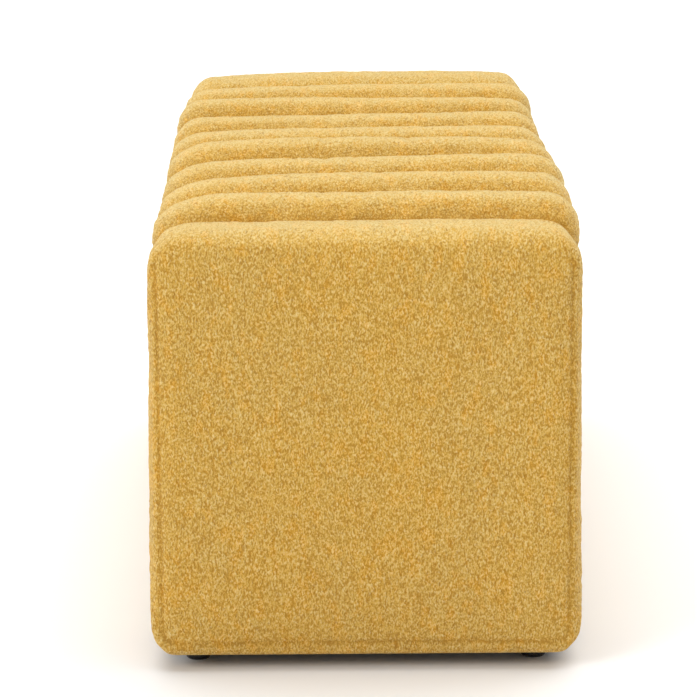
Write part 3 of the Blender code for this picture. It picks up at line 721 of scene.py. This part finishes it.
def near_edge(shape, row_reach, column_reach):
    """0 on the border of a grid, rising to 1 over a number of rows or columns."""
    rows = np.minimum(np.arange(shape[0]), np.arange(shape[0])[::-1]) / row_reach
    columns = np.minimum(np.arange(shape[1]), np.arange(shape[1])[::-1]) / column_reach
    return np.clip(np.minimum(rows[:, None], columns[None, :]), 0.0, 1.0)


def border(rows, columns):
    """The indices around a grid's edge, in an order that faces the closing face outwards."""
    index = np.arange(rows * columns).reshape(rows, columns)
    return np.concatenate([index[0, :-1], index[:-1, -1], index[-1, :0:-1], index[:0:-1, 0]])


# %% [markdown]
# ## Putting a padded piece together
#
# Every channelled piece goes through the same steps: make the sheet, cap its ends, let it swell, put
# finer points in, raise the pile, keep it out of the hinges, and close its flat back with one face.

# %% Padded piece
HINGES = [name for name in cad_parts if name.startswith("hinge_pin")]
HINGE_CLEAR = 0.0053  # from a hinge's axis to the nearest cloth
HINGE_REACH = 0.0015  # past the ends of a hinge's pin
SEWN_FROM = 0.985  # place across a channel from which its cover is sewn down
PILE_ROWS = 4  # rows over which the pile grows from a sheet's end


def keep_off_hinges(points):
    """Pushes points straight away from the hinge pins' line until they are clear of the knuckles."""
    for pin in HINGES:
        low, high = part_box(pin)
        centre = (low + high) / 2.0
        away = points[..., 1:] - np.array((centre.y, centre.z))
        distance = np.linalg.norm(away, axis=-1, keepdims=True)
        beside = (points[..., 0] > low.x - HINGE_REACH) & (points[..., 0] < high.x + HINGE_REACH)
        push = np.where(beside[..., None], np.maximum(HINGE_CLEAR / np.maximum(distance, 1e-6), 1.0), 1.0)
        points[..., 1:] = np.array((centre.y, centre.z)) + away * push
    return points


def add_painted_light(mesh, values):
    """Stores a number for each point, which the cloth's colour reads as painted light: a painted
    highlight above 0.84 and painted shade below 0.78.
    """
    rise = mesh.attributes.new("rise", "FLOAT", "POINT")
    rise.data.foreach_set("value", values.astype(np.float32).ravel())


def make_piece(name, mesh, material, body):
    """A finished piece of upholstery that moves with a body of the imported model."""
    mesh.materials.clear()
    mesh.materials.append(material)
    mesh.shade_smooth()
    piece = add_object(name, mesh)
    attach(piece, body)
    return piece


def channel_piece(name, path, inward, depth, half_length, edge_line, body, fullness, seed):
    """A channelled piece that rides on body; the values are those of channel_sheet and cap_ends."""
    points, across = channel_sheet(path, inward, depth, half_length, fullness, seed)
    points = cap_ends(points, edge_line)
    rows, columns = points.shape[:2]
    held = np.zeros((rows, columns), bool)
    held[CAP_ROWS:-CAP_ROWS][np.abs(across) > SEWN_FROM] = True
    held[: CAP_ROWS + 1] = held[-CAP_ROWS - 1 :] = True
    held[:, :ROLL_POINTS] = held[:, -ROLL_POINTS:] = True
    sheet = mesh_of(f"{name}_sheet", points, grid_faces(rows, columns))
    points = settle(sheet, held.ravel(), pressure=3.0, cap=0.003).reshape(rows, columns, 3)
    # painted light: 1 on the channels' crests, which are painted paler, and 0 in their seams, painted
    # darker
    rise = np.zeros((rows, columns, 1))
    rise[CAP_ROWS:-CAP_ROWS, :, 0] = 1.0 - arch_drop(across)[:, None]
    points, rise = denser(points), denser(rise)
    rows, columns = points.shape[:2]
    lift = pile_height(points) * near_edge((rows, columns), PILE_ROWS, 2 * ROLL_POINTS)
    points = keep_off_hinges(points + grid_normals(points) * lift[..., None])
    mesh = mesh_of(name, points, grid_faces(rows, columns), border(rows, columns))
    add_painted_light(mesh, rise)
    piece = make_piece(name, mesh, channel_cloth, body)
    print(name, "has", len(mesh.vertices), "points")
    return piece


# %% [markdown]
# ## The lid's padding
#
# Seen along the length, the lid's padding starts at the lid board's lower edge, rolls around it,
# climbs the side, turns over the top corner and crosses the top. The roll and the corner are quarters
# of ellipses.

# %% Lid
lid_low, lid_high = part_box("lid_channel_pad")
board_low, board_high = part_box("lid_board")
TOP_SEAM_DEPTH = 0.026
SIDE_SEAM_DEPTH = 0.013
CORNER_HEIGHT = 0.036
# The top corners' width at the front and the back, and how far those sides lean in, for each channel.
FRONT_CORNERS = (0.032, 0.032, 0.036, 0.042, 0.056, 0.064, 0.070, 0.072)
BACK_CORNERS = (0.034, 0.036, 0.036, 0.038, 0.036, 0.034, 0.034, 0.034)
FRONT_LEAN = (0.0, 0.0, 0.0, 0.001, 0.003, 0.005, 0.006, 0.006)
BACK_LEAN = (0.002, 0.004, 0.004, 0.003, 0.001, 0.0, 0.0, 0.0)
SIDE_POINTS, CORNER_POINTS, TOP_POINTS = 3, 11, 30


def quarter(centre, radii, start, end, count):
    """Points on an elliptic arc, and their outward directions."""
    turn = np.linspace(start, end, count)
    out = np.stack([np.cos(turn), np.sin(turn)], axis=1)
    return np.array(centre) + out * np.array(radii), out


def straight(start, end, out, count):
    """Points between two others, without either."""
    start, end = np.array(start), np.array(end)
    share = np.linspace(0.0, 1.0, count + 2)[1:-1, None]
    points = start + (end - start) * share
    return points, np.broadcast_to(np.array(out, float), points.shape)


def lid_path(corner_width, lean):
    """The back half of the lid's section, from the board's lower edge to the middle of the top."""
    thick = lid_high.y - board_high.y
    centre, radii = (board_high.y, board_low.z + thick), (thick - lean, thick)
    roll, roll_out = quarter(centre, radii, -math.pi / 2, 0.0, ROLL_POINTS)
    roll_out = roll_out * (1.0, 0.0)
    centre = (lid_high.y - lean - corner_width, lid_high.z - CORNER_HEIGHT)
    corner, corner_out = quarter(centre, (corner_width, CORNER_HEIGHT), 0.0, math.pi / 2, CORNER_POINTS)
    side, side_out = straight(roll[-1], corner[0], (1.0, 0.0), SIDE_POINTS)
    top, top_out = straight(corner[-1], (0.0, lid_high.z), (0.0, 1.0), TOP_POINTS)
    path = np.concatenate([roll, side, corner, top])
    return path, np.concatenate([roll_out, side_out, corner_out, top_out])


def along_channels(half_length, *tables):
    """Each row's value from tables of one value for each channel."""
    x = channel_rows(half_length)[0]
    centres = (np.arange(CHANNELS) + 0.5 - CHANNELS / 2) * 2 * half_length / CHANNELS
    return np.stack([np.interp(x, centres, table) for table in tables], axis=1)


def lid_sections(half_length):
    """Every row's section from front to back, and the outward directions, which all rows share."""
    mirror = np.array((-1.0, 1.0))
    middle = np.array([[0.0, lid_high.z]])
    rows = along_channels(half_length, FRONT_CORNERS, FRONT_LEAN, BACK_CORNERS, BACK_LEAN)
    sections = []
    for front_corner, front_lean, back_corner, back_lean in rows:
        front, out = lid_path(front_corner, front_lean)
        back, out = lid_path(back_corner, back_lean)
        sections.append(np.concatenate([front * mirror, middle, back[::-1]]))
    return np.array(sections), np.concatenate([out * mirror, [[0.0, 1.0]], out[::-1]])


lid_half = lid_high.x + SKIN
sections, out = lid_sections(lid_half)
upward = out[:, 1].clip(0, 1)  # 1 on the top, 0 on the sides
depth = SIDE_SEAM_DEPTH + (TOP_SEAM_DEPTH - SIDE_SEAM_DEPTH) * upward
line_y = np.linspace(-board_high.y, board_high.y, len(out))
edge_line = np.column_stack([line_y, np.full_like(line_y, board_low.z)])
sections[:, 0], sections[:, -1] = edge_line[0], edge_line[-1]
raised_line = edge_line + (0.0, SKIN / 3)
lid_padding = channel_piece("lid_padding", sections, -out, depth, lid_half, raised_line, "lid", upward, 21)
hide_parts("lid_channel_pad")

# %% [markdown]
# ## The front and back padding
#
# The box's long sides are padded to the same thickness, and their channels line up with the lid's.
# Their section rolls in at the floor and again under the lid, where it meets the lid's own roll.

# %% Front and back
BOTTOM_ROUND = 0.016
BOTTOM_SAG = 0.0055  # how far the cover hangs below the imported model's padding
WALL_LEAN_START = 0.20  # height above the floor from which the walls lean in


def wall_path(low, high, board_y, thick, side):
    """Around one wall's padding, always with its outside on the right of the way it goes."""
    sagging = (0.0, low.z - BOTTOM_SAG + BOTTOM_ROUND)
    bottom, bottom_out = quarter(sagging, (thick, BOTTOM_ROUND), -math.pi / 2, 0.0, ROLL_POINTS)
    top, top_out = quarter((0.0, high.z - thick), (thick, thick), 0.0, math.pi / 2, ROLL_POINTS)
    count = int(round((top[0, 1] - bottom[-1, 1]) / CELL))
    face, face_out = straight(bottom[-1], top[0], (1.0, 0.0), count)
    path = np.concatenate([bottom, face, top])
    out = np.concatenate([bottom_out * (1.0, 0.0), face_out, top_out * (1.0, 0.0)])
    path = path * (side, 1.0) + (board_y, 0.0)
    out = out * (side, 1.0)
    return (path, out) if side < 0 else (path[::-1], out[::-1])


def wall_padding(word, side, seed):
    """The padding of the front (side -1) or the back (side 1)."""
    low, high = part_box(f"{word}_channel_pad")
    panel_low, panel_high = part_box(f"{word}_panel")
    board_y = panel_high.y if side > 0 else panel_low.y
    thick = abs((high.y if side > 0 else low.y) - board_y)
    path, out = wall_path(low, high, board_y, thick, side)
    lean = along_channels(high.x + SKIN, BACK_LEAN if side > 0 else FRONT_LEAN)
    felt = fade(path[:, 1], WALL_LEAN_START, high.z - WALL_LEAN_START)
    path = np.broadcast_to(path, (len(lean), *path.shape)).copy()
    path[..., 0] = board_y + (path[..., 0] - board_y) * (1.0 - lean * felt / thick)
    line_z = np.linspace(path[0, 0, 1], path[0, -1, 1], len(out))
    edge_line = np.column_stack([np.full_like(line_z, board_y + side * SKIN / 2), line_z])
    depth = np.full(len(out), SIDE_SEAM_DEPTH)
    piece = channel_piece(f"{word}_padding", path, -out, depth, high.x + SKIN, edge_line, "box", 0.0, seed)
    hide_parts(f"{word}_channel_pad")


wall_padding("front", -1, 31)
wall_padding("back", 1, 41)

# %% [markdown]
# ## Turned edges
#
# The cover is turned over the boards' edges and stapled flat: all round under the lid, and along the
# top of the front and back panels. Each is a thin band between two lines, and it is pressed thin
# where a rubber bumper, a stay's bracket or the lid's lining lies on it.

# %% Turned edges
PRESSED = 0.0002  # thickness of the cloth under a fitting
LOOSE = 0.0010  # and elsewhere
PRESS_MARGIN = 0.001  # around a fitting, where the cloth is still pressed thin
PRESS_FADE = 0.004  # from there to its full thickness
RIPPLE = 0.15  # share of the thickness that varies
RIPPLE_CELL = 0.009
RIPPLE_SEED = 51
EDGE_COLUMNS = 9
# painted light of the turned cloth: between painted highlight and painted shade, so neither shows
EDGE_PAINTED_LIGHT = 0.8  # tone of the cloth
LID_EDGE_POINTS = 200  # along each side of the lid
WALL_EDGE_POINTS = 240  # along the front and the back
UNDER_LINING = 0.006  # how far the turned cloth goes under the lid's lining
PRESSING = [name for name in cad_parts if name.startswith(("lid_bumper", "stay_bracket", "lid_lining"))]


def room_beside(flat):
    """How far each point of X and Y is from the nearest fitting that presses on the cloth, up to 1 m."""
    nearest = np.full(flat.shape[:-1], 1.0)
    for name in PRESSING:
        low, high = (np.array(corner)[:2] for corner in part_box(name))
        outside = np.maximum(np.maximum(low - flat, flat - high), 0.0)
        nearest = np.minimum(nearest, np.linalg.norm(outside, axis=-1))
    return nearest


def turned_edge(name, outer, inner, level, side, body, ring):
    """A band of cloth between two lines of X and Y, on top of (side 1) or under (side -1) Z = level.

    With ring set the lines are closed, and the band goes all round."""
    share = np.linspace(0.0, 1.0, EDGE_COLUMNS)[None, :, None]
    flat = outer[:, None] * (1.0 - share) + inner[:, None] * share
    loose = fade(room_beside(flat), PRESS_MARGIN, PRESS_FADE)
    rounded = np.sqrt(1.0 - 0.98 * np.abs(2.0 * share[..., 0] - 1.0) ** 6)
    ripple = lattice_noise(np.concatenate([flat, flat[..., :1]], axis=-1), RIPPLE_CELL, RIPPLE_SEED)
    thick = PRESSED + (LOOSE - PRESSED) * loose * rounded * (1.0 - RIPPLE + RIPPLE * ripple)
    top = np.concatenate([flat, (level + side * thick)[..., None]], axis=-1)
    base = np.concatenate([flat, np.full((*thick.shape, 1), level + side * PRESSED / 4)], axis=-1)
    points = np.concatenate([top, base[:, ::-1]], axis=1)
    index = np.arange(points.shape[0] * points.shape[1]).reshape(points.shape[:2])
    quads = (index, np.roll(index, -1, 0), np.roll(index, (-1, -1), (0, 1)), np.roll(index, -1, 1))
    last = len(index) if ring else -1
    faces = np.stack([corner[:last].ravel() for corner in quads], axis=1)
    caps = [] if ring else [index[0], index[-1, ::-1]]
    mesh = mesh_of(name, points, faces, *caps)
    if mesh.polygons[EDGE_COLUMNS // 2].normal.z * side < 0:
        mesh.flip_normals()
    add_painted_light(mesh, np.full(len(mesh.vertices), EDGE_PAINTED_LIGHT))
    make_piece(name, mesh, channel_cloth, body)


def rectangle(half_x, half_y, per_side):
    """Points around a rectangle, the same number on each side."""
    share = np.linspace(-1.0, 1.0, per_side + 1)[:-1]
    one = np.ones(per_side)
    sides = [(share, -one), (one, share), (-share, one), (-one, -share)]
    return np.concatenate([np.stack([x * half_x, y * half_y], axis=1) for x, y in sides])


lining_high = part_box("lid_lining")[1]
outer = rectangle(board_high.x - SKIN, board_high.y - SKIN, LID_EDGE_POINTS)
inner = rectangle(lining_high.x - UNDER_LINING, lining_high.y - UNDER_LINING, LID_EDGE_POINTS)
turned_edge("lid_turned_edge", outer, inner, board_low.z, -1, "lid", ring=True)
for word, side in (("front", -1), ("back", 1)):
    low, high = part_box(f"{word}_panel")
    along = np.linspace(lid_low.x + SKIN, lid_high.x - SKIN, WALL_EDGE_POINTS)
    outer_y, inner_y = (high.y, low.y) if side > 0 else (low.y, high.y)
    outer = np.column_stack([along, np.full_like(along, outer_y - side * SKIN / 2)])
    inner = np.column_stack([along, np.full_like(along, inner_y + side * SKIN / 2)])
    turned_edge(f"{word}_turned_edge", outer, inner, high.z, 1, "box", ring=False)
print("turned edges are", 1000 * LOOSE, "mm thick")

# %% [markdown]
# ## The end slabs
#
# Each end is a box of foam over boards, sewn from a face panel and a band that runs around it. Its
# form starts as the six grids of a box. First every edge is rounded: a point is pulled to the nearest
# place inside a smaller box and pushed back out by the radius. Then the four long corners are
# rounded further by the mapping that turns a square into a disc.

# %% Slab form
SLAB_RIM = 0.013  # radius around the two faces
TOP_CORNER = 0.028
BOTTOM_CORNER = 0.024
TOP_ARCH_INNER = 0.016  # how far the top falls to the face beside the box
TOP_ARCH_OUTER = 0.020  # and to the outer face
TOP_ARCH_POWER = 2.2
TOP_ARCH_REACH = 0.055  # how far down the slab the arch of its top is felt
CROWN = {"left": 0.0050, "right": 0.0}  # how much fuller each slab's top is
DROOP = {"left": (0.008, 0.004), "right": (0.002, 0.002)}  # how far its top falls to the front and back
LEAN_START = 0.11  # height above the floor from which the sides lean in
LEAN = {"left": (0.002, 0.009), "right": (0.015, 0.009)}  # at the front and the back, for each metre up
SAG_REACH = 0.03  # how far up the slab the hang of its bottom is felt
FACE_CROWN = 0.0020  # how far the outer face swells in its middle
SEAM_IN = 0.0105  # from the slab's outline to the seam on its face
SEAM_GROOVE = 0.0022  # depth
SEAM_SPREAD = 0.0022  # half its width
SEAM_SHADE = 0.35  # how much darker the cloth's tone is down in it


def cube_grid(size):
    """The surface of a box, centred on the origin, in cells of about CELL.

    Points that two grids share are merged."""
    faces, points, offset = [], [], 0
    for axis in range(3):
        first, second = [a for a in range(3) if a != axis]
        counts = [int(round(size[a] / CELL)) + 1 for a in (first, second)]
        lines = [np.linspace(-size[a] / 2, size[a] / 2, n) for a, n in zip((first, second), counts)]
        for side in (-1.0, 1.0):
            patch = np.empty((*counts, 3))
            patch[..., axis] = side * size[axis] / 2
            patch[..., first] = lines[0][:, None]
            patch[..., second] = lines[1][None, :]
            quads = grid_faces(*counts) + offset
            outward = side * (-1.0 if axis == 1 else 1.0)
            faces.append(quads if outward > 0 else quads[:, ::-1])
            points.append(patch.reshape(-1, 3))
            offset += patch.shape[0] * patch.shape[1]
    points, faces = np.concatenate(points), np.concatenate(faces)
    chosen, merged = np.unique(points.round(6), axis=0, return_index=True, return_inverse=True)[1:]
    return points[chosen], merged.reshape(-1)[faces]


def round_edges(points, size, radius):
    """Pulls each point into the smaller box and pushes it back out by the radius."""
    core = np.clip(points, -np.array(size) / 2 + radius, np.array(size) / 2 - radius)
    out = points - core
    return core + out * radius / np.maximum(np.linalg.norm(out, axis=1, keepdims=True), 1e-9)


def corner_radii(points):
    """The radius of the rounded corner nearest to each point, looking along X."""
    return np.where(points[:, 2] > 0, TOP_CORNER, BOTTOM_CORNER)[:, None]


def round_corners(points, size):
    """Maps the square in each corner of the Y-Z outline to a quarter disc.

    A point (a, b) of the unit square goes to (a * sqrt(1 - b^2 / 2), b * sqrt(1 - a^2 / 2))."""
    made = points.copy()
    radius = corner_radii(points)
    straight_part = np.array(size[1:]) / 2 - radius
    square = (np.abs(points[:, 1:]) - straight_part) / radius
    disc = square * np.sqrt(np.maximum(1.0 - square[:, ::-1] ** 2 / 2.0, 0.0))
    inside = (square > 0).all(axis=1, keepdims=True)
    rounded = np.sign(points[:, 1:]) * (straight_part + disc * radius)
    made[:, 1:] = np.where(inside, rounded, points[:, 1:])
    return made


def outline_depth(points, size):
    """How far inside the slab's rounded outline a point is, looking along X."""
    radius = corner_radii(points)
    past = np.abs(points[:, 1:]) - (np.array(size[1:]) / 2 - radius)
    corner = np.linalg.norm(np.maximum(past, 0.0), axis=1)
    return radius[:, 0] - corner - np.minimum(past.max(axis=1), 0.0)


def near_top(points, size):
    """0 below the reach of the top's arch and 1 at the top."""
    return fade(points[:, 2] - size[2] / 2, -TOP_ARCH_REACH, TOP_ARCH_REACH)


def hand_shaped(points, size, side, floor_gap, word):
    """Arches the top along X, leans the long sides in towards the top, and lets the bottom hang."""
    made = points.copy()
    outward = side * points[:, 0] / (size[0] / 2)
    sink = np.where(outward > 0, TOP_ARCH_OUTER, TOP_ARCH_INNER)
    arch = 1.0 - np.sqrt(np.maximum(1.0 - np.abs(outward).clip(0, 1) ** TOP_ARCH_POWER, 0.0))
    upper = near_top(points, size)
    back = points[:, 1] / (size[1] / 2)
    fall = DROOP[word][0] * (-back).clip(0, 1) ** 2 + DROOP[word][1] * back.clip(0, 1) ** 4
    made[:, 2] += (CROWN[word] - sink * arch - fall) * upper**2 * (3.0 - 2.0 * upper)
    lean = np.where(back < 0, *LEAN[word])
    above = np.maximum(points[:, 2] + size[2] / 2 + floor_gap - LEAN_START, 0.0)
    made[:, 1] -= np.sign(back) * lean * above * back**2
    made[:, 2] -= BOTTOM_SAG * fade(-points[:, 2] - size[2] / 2, -SAG_REACH, SAG_REACH)
    return made


def after_modifier(mesh, kind, **settings):
    """The mesh that a modifier of this kind makes of another one."""
    body = add_object("unfinished", mesh)
    step = body.modifiers.new("step", kind)
    for key, value in settings.items():
        setattr(step, key, value)
    graph = bpy.context.evaluated_depsgraph_get()
    made = bpy.data.meshes.new_from_object(body.evaluated_get(graph))
    bpy.data.objects.remove(body, do_unlink=True)
    return made


# %% [markdown]
# The boards of the box stand inside the slab, so a pocket is cut out of it from below, and a doorway
# on the side next to the box. A strip of cover stays over the doorway, where it hides the edge of the
# deck board.

# %% Slabs
HELD_INNER = 0.012  # the cover is held this deep beside the box
HELD_BOTTOM = 0.004  # and this high above its lower edge
FACE_START = 0.009  # below the outer face, where the seam's groove begins to show
FACE_FADE = 0.006
FREE_INNER = 0.004  # the pile begins this far from the face beside the box
FREE_BOTTOM = 0.003  # and this far above the lower edge
FREE_FADE = 0.01
# painted light of the cover below the top, from which the top is painted paler
BODY_PAINTED_LIGHT = 0.80  # tone of the cover below the top
BELOW_SLAB = 0.05  # a cutting box starts this far below it
DOOR_OUT = 0.02
DOOR_IN = 0.002


def box_mesh(name, low, high):
    """Eight corners and six faces that point outwards."""
    corners = np.array([[(low, high)[(i >> k) & 1][k] for k in range(3)] for i in range(8)])
    quads = [(0, 2, 3, 1), (4, 5, 7, 6), (0, 1, 5, 4), (2, 6, 7, 3), (0, 4, 6, 2), (1, 3, 7, 5)]
    return mesh_of(name, corners, np.array(quads))


def carve(mesh, low, high):
    """The mesh with a box cut out of it."""
    tool = add_object("carving_box", box_mesh("carving_box", low, high))
    made = after_modifier(mesh, "BOOLEAN", object=tool, operation="DIFFERENCE", solver="MANIFOLD")
    bpy.data.objects.remove(tool, do_unlink=True)
    return made


def foam(word, side, size, floor_gap):
    """The slab's plump form around the origin, before its pile and its pockets."""
    points, faces = cube_grid(size)
    points = round_corners(round_edges(points, size, SLAB_RIM), size)
    outer = fade(side * points[:, 0] - size[0] / 2, -SLAB_RIM, SLAB_RIM)
    bulge = np.prod(1.0 - (2 * points[:, 1:] / np.array(size[1:])) ** 4, axis=1)
    points[:, 0] += side * FACE_CROWN * outer * bulge
    held = -side * points[:, 0] > size[0] / 2 - HELD_INNER
    held |= points[:, 2] < -size[2] / 2 + HELD_BOTTOM
    mesh = mesh_of("foam", hand_shaped(points, size, side, floor_gap, word), faces)
    points = settle(mesh, held, pressure=2.5, cap=0.0022, spare=0.01)
    return after_modifier(mesh_of("foam", points, faces), "SUBSURF", levels=1, render_levels=1)


def cover(mesh, side, size, centre):
    """Moves the form to its place, with the pile on it and the seam's groove pressed into it."""
    points = read_points(mesh)
    outer_face = fade(side * points[:, 0] - size[0] / 2, -FACE_START, FACE_FADE)
    depth = outline_depth(points, size)
    groove = np.exp(-(((depth - SEAM_IN) / SEAM_SPREAD) ** 2)) * outer_face
    free = fade(side * points[:, 0] + size[0] / 2, FREE_INNER, FREE_FADE)
    free *= fade(points[:, 2] + size[2] / 2, FREE_BOTTOM, FREE_FADE)
    lift = pile_height(points + centre) * free - SEAM_GROOVE * groove
    # painted highlight: the slab's top is painted paler, most in the middle of its width
    middle = 1.0 - (side * points[:, 0] / (size[0] / 2)) ** 2
    top = (1.0 - BODY_PAINTED_LIGHT) * near_top(points, size) * middle.clip(0, 1)
    # painted shade: the colour is darker down in the seam's groove
    add_painted_light(mesh, BODY_PAINTED_LIGHT + top - SEAM_SHADE * groove)
    points = points + read_points(mesh, "normal") * lift[:, None] + centre
    mesh.vertices.foreach_set("co", points.ravel())


def slab(word, side):
    """The end slab on one side, carved out for its boards."""
    low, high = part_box(f"end_pad_{word}")
    size = tuple(high - low)
    mesh = foam(word, side, size, low.z)
    cover(mesh, side, size, np.array((low + high) / 2))
    board_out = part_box(f"end_board_outer_{word}")[1 if side > 0 else 0].x
    deck_low, deck_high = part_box(f"end_deck_{word}")
    deck_edge = deck_low.x if side > 0 else deck_high.x
    ease = SKIN / 2
    for start, end, top in (
        (deck_edge, board_out + side * ease, deck_high.z + ease),
        (deck_edge - side * DOOR_OUT, deck_edge + side * DOOR_IN, deck_low.z - ease),
    ):
        x_low, x_high = sorted((start, end))
        corner_low = (x_low, deck_low.y - ease, low.z - BELOW_SLAB)
        mesh = carve(mesh, corner_low, (x_high, deck_high.y + ease, top))
    mesh.name = f"slab_{word}"
    piece = make_piece(f"slab_{word}", mesh, slab_cloth, "box")
    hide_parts(f"end_pad_{word}")
    print(piece.name, "has", len(mesh.vertices), "points")


slab("left", -1)
slab("right", 1)
